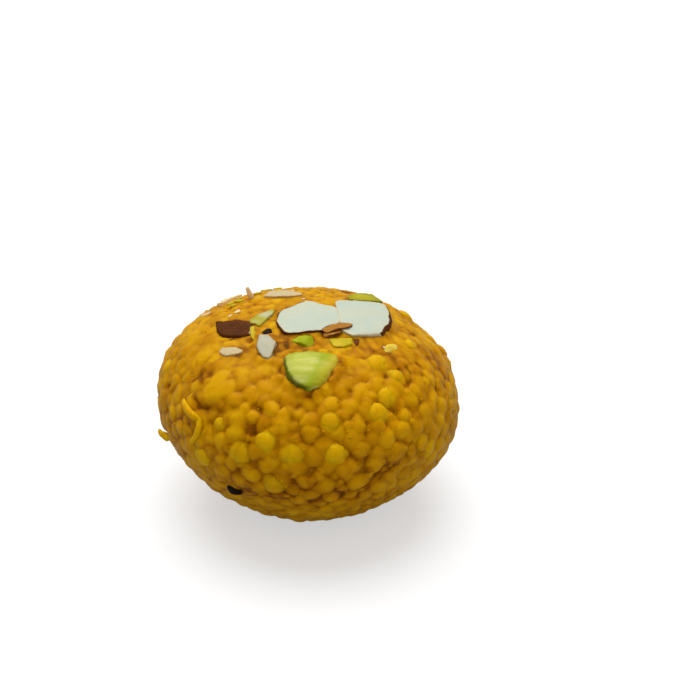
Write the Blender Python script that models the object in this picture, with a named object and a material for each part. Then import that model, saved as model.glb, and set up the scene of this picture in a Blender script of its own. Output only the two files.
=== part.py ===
"""Motichoor ladoo: a pressed ball of small fried gram-flour pearls with slivered nuts on its crown.

The sweet stands on a small flat spot on the plane z = 0, with its front towards -Y. Its outline is
two halves of a superellipsoid that meet at the widest level. A hand pressed it, so the outline has
shallow dents, swellings and one fold low on the front. Pearls settled evenly over that outline give
the knobbly surface: the top of each pearl is one vertex, and each place where three pearls meet is
a low one. Every nut is a soft-edged chip, sunk into a pocket that is cut for it.
"""

import math

import bmesh
import bpy
import numpy as np
from mathutils import Matrix, Vector

MM = 0.001

# ---- the pressed ball -------------------------------------------------------------------------
HALF_WIDTH = 25.0 * MM
HALF_DEPTH = 24.4 * MM
CROWN_HEIGHT = 15.2 * MM  # from the widest level up to the top
CROWN_POWER = 2.36  # above 2 the crown is flatter than an ellipsoid's
BELLY_HEIGHT = 19.5 * MM  # from the widest level down to where the round would close
BELLY_POWER = 1.8  # below 2 the belly tapers faster than an ellipsoid's
SEAT_LEVEL = 0.93 * BELLY_HEIGHT  # the flat spot lies this far below the widest level

# ---- dents and swellings: azimuth and elevation in degrees, height in mm, spread in degrees ------
SWELLINGS = (
    (163, 25, 0.7, 22),  # left shoulder
    (14, 20, -0.9, 19),  # right shoulder, where the palm pressed
    (-10, -15, 0.65, 20),  # right side of the belly
    (-155, -32, -0.85, 24),  # lower left, where the fingers pressed
    (-134, 27, 0.5, 9),  # a large clump at the front left
    (-132, 16, -0.9, 4.5),  # the hollow under that clump
    (-158, 20, -0.6, 7),  # the hollow beside it
    (-52, 22, -0.5, 4),  # a gap at the front right
    (-80, 15, -0.4, 5),  # a gap in the middle of the front
)

# ---- the fold: azimuth and elevation in degrees, how far the side below it steps in, in mm -----
FOLD = (
    (-130, -13, 0.0),
    (-119, -11, 0.7),
    (-108, -10, 0.8),
    (-97, -9, 0.3),
    (-86, -14, 0.4),
    (-75, -9, 1.1),
    (-68, -6, 1.3),
    (-60, 1, 1.2),
    (-44, -3, 0.9),
    (-32, -7, 0.0),
)
FOLD_LIP = 2.0  # degrees of elevation over which the step falls
FOLD_REACH = 20.0  # degrees below the fold by which most of the step is made good

# ---- the pearls -------------------------------------------------------------------------------
PEARLS = 1000
PEARL_SEED = 11
PEARL_SPREAD = 0.16  # natural spread of the pearls' sizes, as a fraction
FINE_SIDE = (5, 5, 0.22, 38)  # azimuth, elevation, how much smaller, spread: finer pearls here
SETTLE_STEPS = 60
SETTLE_REACH = 1.3  # how far a pearl pushes, in pitches
SETTLE_STEP = 0.06  # how far it moves in a step, in pitches
GOLDEN_ANGLE = math.pi * (3.0 - math.sqrt(5.0))
PITCH = 2.66 * MM  # mean distance between neighbouring pearls
VALLEY = 0.75 * MM  # how deep the places between pearls lie
PROUD_SPREAD = 0.16 * MM  # how unevenly the pearls stand out
PROUD_MOST = 0.35 * MM
# Where the hand smeared the pearls flat: azimuth, elevation, how much, spread in degrees.
SMEARS = (
    (0, 90, 0.45, 34),
    (-134, 27, 0.6, 8),
    (-165, 40, 0.4, 16),
    (-20, 45, 0.3, 14),
)

# ---- the chips of nut -------------------------------------------------------------------------
CHIP_NET = {"large": (16, 8), "small": (10, 6)}  # vertices around a chip, and rings down it
CHIP_POWER = 14.0  # the higher, the crisper a chip's edges
GAP = 0.3 * MM  # clearance between a chip and the sweet

# Each chip is placed from the middle of the widest level, in mm. "lean" is the azimuth and
# elevation of its upward normal, "arch" is how far its middle stands above its rim, and each side
# is a direction in degrees and a distance in mm.
CHIPS = {
    "almond_slice_left": {
        "net": "large",
        "at": (-0.4, -0.4, 15.7),
        "lean": (-90, 88),
        "thick": 1.2,
        "arch": 0.25,
        "sides": ((150, 4.0), (107, 5.0), (60, 4.6), (-4, 5.0), (-35, 4.7), (-87, 5.0), (-158, 5.3)),
        "nut": "almond",
    },
    "almond_slice_right": {
        "net": "large",
        "at": (9.5, -0.1, 15.1),
        "lean": (-5, 81),
        "thick": 1.4,
        "arch": 0.35,
        "sides": ((95, 6.0), (31, 6.0), (-12, 4.3), (-40, 5.0), (-74, 5.6), (-130, 6.0), (-172, 4.1)),
        "nut": "almond",
    },
    "pistachio_chunk": {
        "net": "large",
        "at": (0.8, -14.7, 13.3),
        "lean": (-88, 70),
        "thick": 2.6,
        "arch": 0.3,
        "sides": ((90, 3.9), (-20, 3.05), (-52, 3.05), (-100, 4.3), (-138, 4.2), (-162, 4.2), (178, 4.5)),
        "nut": "pistachio",
    },
    "pistachio_small": {
        "net": "small",
        "at": (-0.4, -8.1, 15.0),
        "lean": (-92, 82),
        "thick": 1.2,
        "arch": 0.2,
        "sides": ((0, 2.1), (50, 1.9), (105, 1.7), (140, 1.95), (190, 2.1), (-120, 1.85), (-75, 1.7)),
        "nut": "pistachio",
    },
    "almond_brown": {
        "net": "large",
        "at": (-12.2, -1.9, 14.2),
        "lean": (-171, 76),
        "thick": 1.3,
        "arch": 0.3,
        "sides": ((68, 2.1), (35, 2.9), (-12, 3.6), (-106, 2.7), (-150, 2.1), (-162, 2.5), (135, 4.3)),
        "nut": "almond_skin",
    },
    "pistachio_pale_slice": {
        "net": "small",
        "at": (-7.6, 0.5, 15.2),
        "lean": (176, 83),
        "thick": 1.0,
        "arch": 0.1,
        "sides": ((118, 1.3), (150, 1.4), (13, 2.1), (-41, 1.25), (-68, 1.6), (-157, 2.2)),
        "nut": "pistachio_pale",
    },
    "almond_chunk": {
        "net": "small",
        "at": (-6.2, -9.0, 14.5),
        "lean": (-123, 78),
        "thick": 1.8,
        "arch": 0.2,
        "sides": ((62, 2.4), (42, 2.1), (-4, 1.7), (-22, 1.6), (-75, 3.1), (-152, 1.4), (185, 1.5), (110, 3.1)),
        "nut": "almond",
    },
    "almond_flake": {
        "net": "small",
        "at": (-12.2, -7.3, 13.4),
        "lean": (-147, 71),
        "thick": 0.9,
        "arch": 0.1,
        "sides": ((66, 0.7), (-10, 2.0), (-90, 1.15), (-126, 1.25), (160, 2.0)),
        "nut": "almond",
    },
    "pistachio_flake": {
        "net": "small",
        "at": (5.4, -7.1, 14.7),
        "lean": (-54, 81),
        "thick": 0.9,
        "arch": 0.1,
        "sides": ((90, 1.35), (0, 1.85), (-62, 1.2), (-150, 1.2), (115, 1.6)),
        "nut": "pistachio_pale",
    },
    "almond_slice_rear": {
        "net": "small",
        "at": (-4.0, 8.2, 15.1),
        "lean": (118, 81),
        "thick": 1.2,
        "arch": 0.2,
        "sides": ((54, 1.3), (100, 1.9), (144, 2.7), (180, 3.2), (-99, 1.6), (-56, 2.5)),
        "nut": "almond",
    },
    "pistachio_slice_rear": {
        "net": "small",
        "at": (9.6, 9.1, 14.1),
        "lean": (42, 75),
        "thick": 1.4,
        "arch": 0.2,
        "sides": ((153, 2.0), (117, 1.7), (35, 2.5), (-51, 2.2), (-98, 2.4)),
        "nut": "pistachio",
    },
}

# ---- colours: linear red, green and blue, and roughness ------------------------------------------
FINISHES = {
    "sweet": ((0.46, 0.22, 0.012), 0.38),
    "almond": ((0.66, 0.64, 0.52), 0.45),
    "almond_skin": ((0.10, 0.035, 0.014), 0.55),
    "pistachio": ((0.42, 0.47, 0.08), 0.45),
    "pistachio_pale": ((0.58, 0.55, 0.20), 0.45),
}


def clear_scene():
    """Remove the objects that a new scene starts with."""
    for obj in list(bpy.data.objects):
        bpy.data.objects.remove(obj, do_unlink=True)


def add_collection(name):
    """Add a collection to the scene."""
    collection = bpy.data.collections.new(name)
    bpy.context.scene.collection.children.link(collection)
    return collection


def make_material(name, finish):
    """A Principled material with the piece's own colour and roughness."""
    colour, roughness = FINISHES[finish]
    material = bpy.data.materials.new(name)
    material.use_nodes = True
    shader = material.node_tree.nodes["Principled BSDF"]
    shader.inputs["Base Color"].default_value = (*colour, 1.0)
    shader.inputs["Roughness"].default_value = roughness
    shader.inputs["Metallic"].default_value = 0.0
    return material


# ---- the outline --------------------------------------------------------------------------------


def heading(azimuth, elevation):
    """The unit vector that points at an azimuth and elevation, both in degrees."""
    turn = math.radians(azimuth)
    rise = math.radians(elevation)
    return np.array([math.cos(rise) * math.cos(turn), math.cos(rise) * math.sin(turn), math.sin(rise)])


def hump(ways, azimuth, elevation, spread):
    """A bell curve over directions: 1 at the heading, and about 0.6 at one spread from it."""
    away = np.degrees(np.arccos(np.clip(ways @ heading(azimuth, elevation), -1.0, 1.0)))
    return np.exp(-0.5 * (away / spread) ** 2)


def round_radius(ways):
    """Radius of the plain round: two superellipsoid halves that meet at the widest level."""
    upper = ways[:, 2] > 0.0
    power = np.where(upper, CROWN_POWER, BELLY_POWER)
    height = np.where(upper, CROWN_HEIGHT, BELLY_HEIGHT)
    level = np.hypot(ways[:, 0] / HALF_WIDTH, ways[:, 1] / HALF_DEPTH)
    rise = np.abs(ways[:, 2]) / height
    return (level**power + rise**power) ** (-1.0 / power)


def fold_step(ways):
    """How far the surface steps in below the fold: a quick fall at its lip, then a slow return."""
    azimuth = np.degrees(np.arctan2(ways[:, 1], ways[:, 0]))
    elevation = np.degrees(np.arcsin(np.clip(ways[:, 2], -1.0, 1.0)))
    turns, rises, depths = np.transpose(FOLD)
    depth = np.interp(azimuth, turns, depths, left=0.0, right=0.0)
    below = np.interp(azimuth, turns, rises) - elevation
    fall = 1.0 / (1.0 + np.exp(-below / (0.25 * FOLD_LIP)))
    back = np.exp(-np.clip(below, 0.0, None) / FOLD_REACH)
    return depth * fall * back * MM


def pressed_radius(ways):
    """Radius over the tops of the pearls: the plain round with its swellings, dents and fold."""
    radius = round_radius(ways) - fold_step(ways)
    for azimuth, elevation, height, spread in SWELLINGS:
        radius = radius + height * MM * hump(ways, azimuth, elevation, spread)
    return radius


def relief(ways):
    """How much of the pearls' relief is left where the hand smeared them: from 0 to 1."""
    left = np.ones(len(ways))
    for azimuth, elevation, amount, spread in SMEARS:
        left = left * (1.0 - amount * hump(ways, azimuth, elevation, spread))
    return left


# ---- the pearls ---------------------------------------------------------------------------------


def settle_pearls():
    """Directions of the pearls' tops: a golden spiral whose points push each other evenly apart."""
    chance = np.random.default_rng(PEARL_SEED)
    order = np.arange(PEARLS)
    height = 1.0 - (2.0 * order + 1.0) / PEARLS
    level = np.sqrt(1.0 - height**2)
    turn = order * GOLDEN_ANGLE
    ways = np.stack([level * np.cos(turn), level * np.sin(turn), height], axis=1)
    girth = np.exp(chance.normal(0.0, PEARL_SPREAD, PEARLS))
    azimuth, elevation, finer, spread = FINE_SIDE
    girth = girth * (1.0 - finer * hump(ways, azimuth, elevation, spread))
    reach = SETTLE_REACH * PITCH * 0.5 * (girth[:, None] + girth[None, :])
    for _ in range(SETTLE_STEPS):
        spots = ways * round_radius(ways)[:, None]
        apart = spots[:, None, :] - spots[None, :, :]
        gap = np.sqrt((apart**2).sum(axis=2)) + np.eye(PEARLS)
        push = np.clip(reach / gap - 1.0, 0.0, 1.0)
        np.fill_diagonal(push, 0.0)
        spots = spots + SETTLE_STEP * PITCH * (apart * (push / gap)[:, :, None]).sum(axis=1)
        ways = spots / np.linalg.norm(spots, axis=1)[:, None]
    proud = np.clip(chance.normal(0.0, PROUD_SPREAD, PEARLS), -PROUD_MOST, PROUD_MOST)
    return ways, proud


def seat(spots):
    """Bring every point below the seat level up to it, along its own direction."""
    deep = spots[:, 2] < -SEAT_LEVEL
    scale = np.ones(len(spots))
    scale[deep] = -SEAT_LEVEL / spots[deep, 2]
    return spots * scale[:, None]


def make_sweet(collection, parent):
    """The pressed ball: a net with a high vertex on each pearl and a low one between every three."""
    ways, proud = settle_pearls()
    net = bmesh.new()
    for spot in ways * round_radius(ways)[:, None]:
        net.verts.new(spot / PITCH)
    bmesh.ops.convex_hull(net, input=net.verts[:])
    links = net.edges[:]
    bmesh.ops.poke(net, faces=net.faces[:])
    bmesh.ops.rotate_edges(net, edges=links, use_ccw=True)
    bmesh.ops.recalc_face_normals(net, faces=net.faces[:])

    spots = np.array([vert.co for vert in net.verts])
    ways = spots / np.linalg.norm(spots, axis=1)[:, None]
    height = np.full(len(ways), -VALLEY)
    height[:PEARLS] = proud
    radius = pressed_radius(ways) + height * relief(ways)
    for vert, spot in zip(net.verts, seat(ways * radius[:, None])):
        vert.co = spot
    print(f"sweet: {PEARLS} pearls, {len(net.verts)} vertices, {len(net.faces)} faces")

    mesh = bpy.data.meshes.new("ladoo_body")
    net.to_mesh(mesh)
    net.free()
    body = bpy.data.objects.new("ladoo_body", mesh)
    body.data.materials.append(make_material("ladoo_body", "sweet"))
    collection.objects.link(body)
    body.parent = parent
    return body


# ---- the chips ----------------------------------------------------------------------------------


def chip_mesh(name, chip, grow):
    """A slab with soft edges, made by pushing a sphere's vertices out to the chip's sides.

    A vertex's direction meets side i at distance d_i / cos(angle to side i). The chip's radius is
    a p-norm of those distances, which rounds the corners between sides a little, and the top and
    the underside count as two more sides. The slab is then flattened to its thickness and arched.
    """
    net = bmesh.new()
    around, rings = CHIP_NET[chip["net"]]
    bmesh.ops.create_uvsphere(net, u_segments=around, v_segments=rings, radius=1.0)
    ways = np.array([vert.co for vert in net.verts])
    turns = np.radians([side[0] for side in chip["sides"]])
    reach = np.array([side[1] for side in chip["sides"]]) * MM + grow
    middle = reach.mean()
    facing = ways[:, :2] @ np.stack([np.cos(turns), np.sin(turns)])
    nearness = (np.clip(facing / reach, 0.0, None) ** CHIP_POWER).sum(axis=1)
    nearness = nearness + np.abs(ways[:, 2] / middle) ** CHIP_POWER
    spots = ways * (nearness ** (-1.0 / CHIP_POWER))[:, None]
    half = 0.5 * chip["thick"] * MM + grow
    spots[:, 2] *= half / middle
    away = (spots[:, :2] ** 2).sum(axis=1) / middle**2
    spots[:, 2] += chip["arch"] * MM * (0.5 - away)
    for vert, spot in zip(net.verts, spots):
        vert.co = spot
    mesh = bpy.data.meshes.new(name)
    net.to_mesh(mesh)
    net.free()
    return mesh


def chip_place(chip):
    """The matrix that lays a chip down: its normal leans as told, and its X stays nearest to +X."""
    up = Vector(heading(*chip["lean"]))
    along = Vector((1.0, 0.0, 0.0))
    along = (along - along.dot(up) * up).normalized()
    across = up.cross(along)
    turn = Matrix((along, across, up)).transposed().to_4x4()
    return Matrix.Translation(Vector(chip["at"]) * MM) @ turn


def make_chip(name, chip, collection, parent):
    """One chip of nut on the crown."""
    piece = bpy.data.objects.new(name, chip_mesh(name, chip, 0.0))
    piece.data.materials.append(make_material(name, chip["nut"]))
    collection.objects.link(piece)
    piece.parent = parent
    piece.matrix_local = chip_place(chip)
    return piece


def cut_pocket(name, chip, body, cutters, parent):
    """Cut the chip's pocket out of the sweet, a small clearance larger than the chip."""
    cutter = bpy.data.objects.new(name + "_pocket", chip_mesh(name + "_pocket", chip, GAP))
    cutters.objects.link(cutter)
    cutter.parent = parent
    cutter.matrix_local = chip_place(chip)
    cutter.hide_render = True
    cutter.display_type = "WIRE"
    pocket = body.modifiers.new(name + "_pocket", "BOOLEAN")
    pocket.operation = "DIFFERENCE"
    pocket.object = cutter


def main():
    """Build the sweet, then the chips and their pockets."""
    clear_scene()
    parts = add_collection("motichoor_ladoo")
    cutters = add_collection("cutters")
    middle = bpy.data.objects.new("middle", None)
    middle.location = (0.0, 0.0, SEAT_LEVEL)
    parts.objects.link(middle)

    body = make_sweet(parts, middle)
    for name, chip in CHIPS.items():
        make_chip(name, chip, parts, middle)
        cut_pocket(name, chip, body, cutters, middle)
    print(f"{len(CHIPS)} chips of nut")


main()
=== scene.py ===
# %% [markdown]
# # Motichoor ladoo
#
# A motichoor ladoo is a sweet of very small pearls of gram-flour batter, fried in ghee, soaked in
# saffron syrup and pressed into a ball by hand. The syrup glues the pearls together, and slivers of
# almond and pistachio are pressed into the crown. This lesson dresses the sweet's solids: it makes
# the fused crumb, the pearls that stand proud, the nuts with their skins, and the crumbs.
#
# Every shape here is a formula on a grid of two parameters. Lengths are in millimetres, measured
# from the middle of the sweet's widest level, until a mesh is made.

import math

import bpy
import numpy as np
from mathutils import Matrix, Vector


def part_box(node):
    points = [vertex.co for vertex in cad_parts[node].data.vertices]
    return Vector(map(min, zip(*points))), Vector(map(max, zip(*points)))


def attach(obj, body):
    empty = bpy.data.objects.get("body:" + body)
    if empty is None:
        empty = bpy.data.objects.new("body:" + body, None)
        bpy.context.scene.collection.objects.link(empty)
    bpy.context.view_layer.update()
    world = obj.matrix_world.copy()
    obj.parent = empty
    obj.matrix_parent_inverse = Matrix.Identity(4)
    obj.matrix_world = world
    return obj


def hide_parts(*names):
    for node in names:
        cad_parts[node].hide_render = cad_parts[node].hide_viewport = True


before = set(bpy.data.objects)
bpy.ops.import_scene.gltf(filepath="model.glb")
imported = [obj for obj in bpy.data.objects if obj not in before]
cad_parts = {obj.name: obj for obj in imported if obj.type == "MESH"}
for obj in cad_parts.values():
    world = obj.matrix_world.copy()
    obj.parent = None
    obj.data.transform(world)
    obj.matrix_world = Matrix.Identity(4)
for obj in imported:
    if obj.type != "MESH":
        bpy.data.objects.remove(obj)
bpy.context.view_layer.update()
MM = 0.001
print("solids:", sorted(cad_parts))

# %% [markdown]
# ## The pressed outline
#
# The ball isn't quite round: the crown is broad and flat, the belly tapers to the small spot it
# stands on, and the hand has left dents, swellings and one fold. A superellipsoid says all of that
# in a few numbers, because its power sets how flat or how pointed it is. The same formula shaped
# the solid, so what is made here lies on it.

# %% Outline of the round
HALF_WIDTH = 25.0
HALF_DEPTH = 24.4
CROWN_HEIGHT = 15.2
CROWN_POWER = 2.36
BELLY_HEIGHT = 19.5
BELLY_POWER = 1.8
SEAT_LEVEL = 0.93 * BELLY_HEIGHT  # the flat spot lies this far below the widest level


def heading(azimuth, elevation):
    """The unit vector that points at an azimuth and elevation, both in degrees."""
    turn = math.radians(azimuth)
    rise = math.radians(elevation)
    level = math.cos(rise)
    return np.array([level * math.cos(turn), level * math.sin(turn), math.sin(rise)])


def unit(vectors):
    """Vectors divided by their lengths."""
    return vectors / np.linalg.norm(vectors, axis=-1, keepdims=True)


def hump(ways, azimuth, elevation, spread):
    """A bell curve over directions: 1 at the heading, and about 0.6 at one spread from it."""
    away = np.degrees(np.arccos(np.clip(ways @ heading(azimuth, elevation), -1.0, 1.0)))
    return np.exp(-0.5 * (away / spread) ** 2)


def round_radius(ways):
    """Radius of two superellipsoid halves: (level^p + rise^p) to the power -1/p."""
    upper = ways[:, 2] > 0.0
    power = np.where(upper, CROWN_POWER, BELLY_POWER)
    height = np.where(upper, CROWN_HEIGHT, BELLY_HEIGHT)
    level = np.hypot(ways[:, 0] / HALF_WIDTH, ways[:, 1] / HALF_DEPTH)
    rise = np.abs(ways[:, 2]) / height
    return (level**power + rise**power) ** (-1.0 / power)


low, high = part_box("ladoo_body")
print(f"widest level {SEAT_LEVEL:.1f} mm up, solid {(high[0] - low[0]) / MM:.1f} mm wide")

# %% Dents, swellings and the fold
# Swellings, and dents where the height is negative: azimuth and elevation in degrees, height in
# mm, and spread in degrees.
SWELLINGS = (
    (163, 25, 0.7, 22),  # left shoulder
    (14, 20, -0.9, 19),  # right shoulder, where the palm pressed
    (-10, -15, 0.65, 20),  # right side of the belly
    (-155, -32, -0.85, 24),  # lower left, where the fingers pressed
    (-134, 27, 0.5, 9),  # a large clump at the front left
    (-132, 16, -0.9, 4.5),  # the hollow under that clump
    (-158, 20, -0.6, 7),  # the hollow beside it
    (-52, 22, -0.5, 4),  # a gap at the front right
    (-80, 15, -0.4, 5),  # a gap in the middle of the front
    (13, 14, 0.8, 5),  # a knot of pearls at the edge of the palm's dent
)
# The fold: azimuth and elevation in degrees, and how far the side below it steps in, in mm.
FOLD = (
    (-130, -13, 0.0),
    (-119, -11, 0.7),
    (-108, -10, 0.8),
    (-97, -9, 0.3),
    (-86, -14, 0.4),
    (-75, -9, 1.1),
    (-68, -6, 1.3),
    (-60, 1, 1.2),
    (-44, -3, 0.9),
    (-32, -7, 0.0),
)
FOLD_LIP = 2.0  # degrees of elevation over which the step falls
FOLD_REACH = 20.0  # degrees below the fold by which most of the step is made good


def fold_near(ways):
    """How deep the fold is at each direction's azimuth, and how many degrees below it that lies."""
    azimuth = np.degrees(np.arctan2(ways[:, 1], ways[:, 0]))
    elevation = np.degrees(np.arcsin(np.clip(ways[:, 2], -1.0, 1.0)))
    turns, rises, depths = np.transpose(FOLD)
    depth = np.interp(azimuth, turns, depths, left=0.0, right=0.0)
    return depth, np.interp(azimuth, turns, rises) - elevation


def fold_step(ways):
    """How far the surface steps in below the fold: depth / (1 + e^-fall) * e^(-below / reach)."""
    depth, below = fold_near(ways)
    fall = 1.0 / (1.0 + np.exp(-np.clip(below / (0.25 * FOLD_LIP), -50.0, 50.0)))
    back = np.exp(-np.clip(below, 0.0, None) / FOLD_REACH)
    return depth * fall * back


def pressed_radius(ways):
    """Radius over the tops of the pearls: the round with its swellings, dents and fold."""
    radius = round_radius(ways) - fold_step(ways)
    for azimuth, elevation, height, spread in SWELLINGS:
        radius = radius + height * hump(ways, azimuth, elevation, spread)
    return radius


print(f"{len(SWELLINGS)} swellings and dents, fold {max(depth for *_, depth in FOLD)} mm deep")


# %% [markdown]
# ## Where the pearls lie
#
# Pearls that are pressed together sit nearly evenly, but never in rows. A golden spiral gives even
# points, random girths make some pearls larger than others, and then every pearl pushes its
# neighbours away until they have settled. The solid's vertices were settled by the same steps from
# the same seed, so each pearl made here stands on its own vertex of the solid.

# %% Settle the pearls
PEARLS = 1000
PEARL_SEED = 11
PEARL_SPREAD = 0.16
FINE_SIDE = (5, 5, 0.22, 38)  # azimuth, elevation, how much smaller, spread: finer pearls here
SETTLE_STEPS = 60
SETTLE_REACH = 1.3
SETTLE_STEP = 0.06
GOLDEN_ANGLE = math.pi * (3.0 - math.sqrt(5.0))
PITCH = 2.66  # mean distance between neighbouring pearls
PROUD_SPREAD = 0.16
PROUD_MOST = 0.35
NEIGHBOURS = 6  # how many neighbours' distances are averaged into a pearl's room


def settle_pearls():
    """Directions of the pearls, how far each stands proud, and its distance to its neighbours."""
    chance = np.random.default_rng(PEARL_SEED)
    order = np.arange(PEARLS)
    height = 1.0 - (2.0 * order + 1.0) / PEARLS
    level = np.sqrt(1.0 - height**2)
    turn = order * GOLDEN_ANGLE
    ways = np.stack([level * np.cos(turn), level * np.sin(turn), height], axis=1)
    girth = np.exp(chance.normal(0.0, PEARL_SPREAD, PEARLS))
    azimuth, elevation, finer, spread = FINE_SIDE
    girth = girth * (1.0 - finer * hump(ways, azimuth, elevation, spread))
    reach = SETTLE_REACH * PITCH * 0.5 * (girth[:, None] + girth[None, :])
    for _ in range(SETTLE_STEPS):
        spots = ways * round_radius(ways)[:, None]
        apart = spots[:, None, :] - spots[None, :, :]
        gap = np.sqrt((apart**2).sum(axis=2)) + np.eye(PEARLS)
        push = np.clip(reach / gap - 1.0, 0.0, 1.0)
        np.fill_diagonal(push, 0.0)
        spots = spots + SETTLE_STEP * PITCH * (apart * (push / gap)[:, :, None]).sum(axis=1)
        ways = unit(spots)
    proud = np.clip(chance.normal(0.0, PROUD_SPREAD, PEARLS), -PROUD_MOST, PROUD_MOST)
    gap = gap + np.eye(PEARLS) * HALF_WIDTH
    room = np.sort(gap, axis=1)[:, :NEIGHBOURS].mean(axis=1)
    return ways, proud, room


pearl_ways, pearl_proud, pearl_room = settle_pearls()
print(f"{PEARLS} pearls, {pearl_room.min():.1f} to {pearl_room.max():.1f} mm from their neighbours")

# %% [markdown]
# ## Small helpers
#
# Real crumb is uneven at every size. A ripple is smooth noise made of sine waves that run in seeded
# directions, which needs no grid and gives the same result every time. The other helpers turn whole
# arrays of points into meshes, carry values to the material as attributes, and fix a piece to the
# body.

# %% Ripple, mesh and riding
BODY = "root"


def smooth(share):
    """A share from 0 to 1 with soft ends: 3 share^2 - 2 share^3."""
    return share * share * (3.0 - 2.0 * share)


def ripple(points, pitch, seed, waves=24):
    """Smooth noise of about -1 to 1: a sum of sines of random direction, pitch and phase."""
    chance = np.random.default_rng(seed)
    ways = unit(chance.normal(size=(waves, 3)))
    steps = 2.0 * np.pi / (pitch * chance.uniform(0.7, 1.5, waves))
    phase = chance.uniform(0.0, 2.0 * np.pi, waves)
    total = np.zeros(len(points))
    for way, step, start in zip(ways, steps, phase):
        total += np.sin(step * (points @ way) + start)
    return np.clip(total / math.sqrt(waves), -2.0, 2.0)


def make_piece(name, points, faces, replaces=(), values=None, smooth=True):
    """A mesh of points in mm, which rides on the body, stands for its nodes and keeps values.

    faces is an array of quads, or a list of such arrays with triangles and quads.
    """
    mesh = bpy.data.meshes.new(name)
    groups = faces if isinstance(faces, list) else [faces]
    corners = np.concatenate([group.ravel() for group in groups]).astype(np.int32)
    sizes = np.concatenate([np.full(len(group), group.shape[1]) for group in groups])
    starts = np.concatenate([[0], np.cumsum(sizes)[:-1]]).astype(np.int32)
    placed = (points + np.array([0.0, 0.0, SEAT_LEVEL])) * MM
    mesh.vertices.add(len(points))
    mesh.vertices.foreach_set("co", placed.astype(np.float32).ravel())
    mesh.loops.add(len(corners))
    mesh.loops.foreach_set("vertex_index", corners)
    mesh.polygons.add(len(sizes))
    mesh.polygons.foreach_set("loop_start", starts)
    mesh.polygons.foreach_set("use_smooth", np.full(len(sizes), smooth))
    mesh.update(calc_edges=True)
    mesh.validate()
    for key, value in (values or {}).items():
        attribute = mesh.attributes.new(key, "FLOAT", "POINT")
        attribute.data.foreach_set("value", np.asarray(value, dtype=np.float32))
    piece = bpy.data.objects.new(name, mesh)
    bpy.context.scene.collection.objects.link(piece)
    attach(piece, BODY)
    if replaces:
        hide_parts(*replaces)
    triangles = int((sizes - 2).sum())
    print(f"{name}: {len(points)} points, {triangles} triangles")
    return piece


def seat(spots):
    """Bring every point below the seat level up to it: point * seat level / its own level."""
    deep = spots[:, 2] < -SEAT_LEVEL
    scale = np.ones(len(spots))
    scale[deep] = -SEAT_LEVEL / spots[deep, 2]
    return spots * scale[:, None]


print("helpers: smooth, ripple, make_piece, seat")


# %% [markdown]
# ## The fused crumb
#
# Most pearls are half sunk in their neighbours, with syrup in the joints, so they read as one
# knobbly skin. A sphere for each would leave hard seams, so the skin is a height over every
# direction instead: along a ray from the middle, each pearl it meets gives a distance, and a soft
# maximum of those distances rounds the joints as syrup does. Finer grains lie in the valleys. The
# grid is a cube blown up into a ball, six square grids welded at their edges, because its cells are
# nearly equal and it has no poles.

# %% A grid of directions
CUBE_CELLS = 126


def cube_ball(cells):
    """Directions on a cube's six grids and the quads between them.

    On each side the grid lines lie at the tangents of equal angles, and points that two sides share
    are welded.
    """
    edge = np.tan(np.linspace(-0.25 * np.pi, 0.25 * np.pi, cells + 1))
    u, v = (grid.ravel() for grid in np.meshgrid(edge, edge, indexing="ij"))
    one = np.ones_like(u)
    sides = [(one, u, v), (-one, -u, v), (-u, one, v), (u, -one, v), (u, v, one), (v, u, -one)]
    points = np.concatenate([np.stack(side, axis=1) for side in sides])
    corner = np.arange((cells + 1) ** 2).reshape(cells + 1, cells + 1)
    quads = [corner[:-1, :-1], corner[1:, :-1], corner[1:, 1:], corner[:-1, 1:]]
    quads = np.stack([quad.ravel() for quad in quads], axis=1)
    quads = np.concatenate([quads + side * len(u) for side in range(6)])
    kept, home = np.unique(np.round(points, 6), axis=0, return_inverse=True)
    stretch = [HALF_WIDTH, HALF_DEPTH, 0.5 * (CROWN_HEIGHT + BELLY_HEIGHT)]
    return unit(kept * stretch), home.reshape(-1)[quads]


crumb_ways, crumb_quads = cube_ball(CUBE_CELLS)
print(f"{len(crumb_ways)} directions, {len(crumb_quads)} quads")

# %% [markdown]
# ## Pearls with places of their own
#
# The eye picks out the largest and palest pearls of the front, so those get the places, sizes and
# shades that they have on the sweet. Each takes the nearest settled pearl, and pearls that it would
# cover sink a little. All the others vary at random, which is enough where no single pearl is
# noticed.

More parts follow.
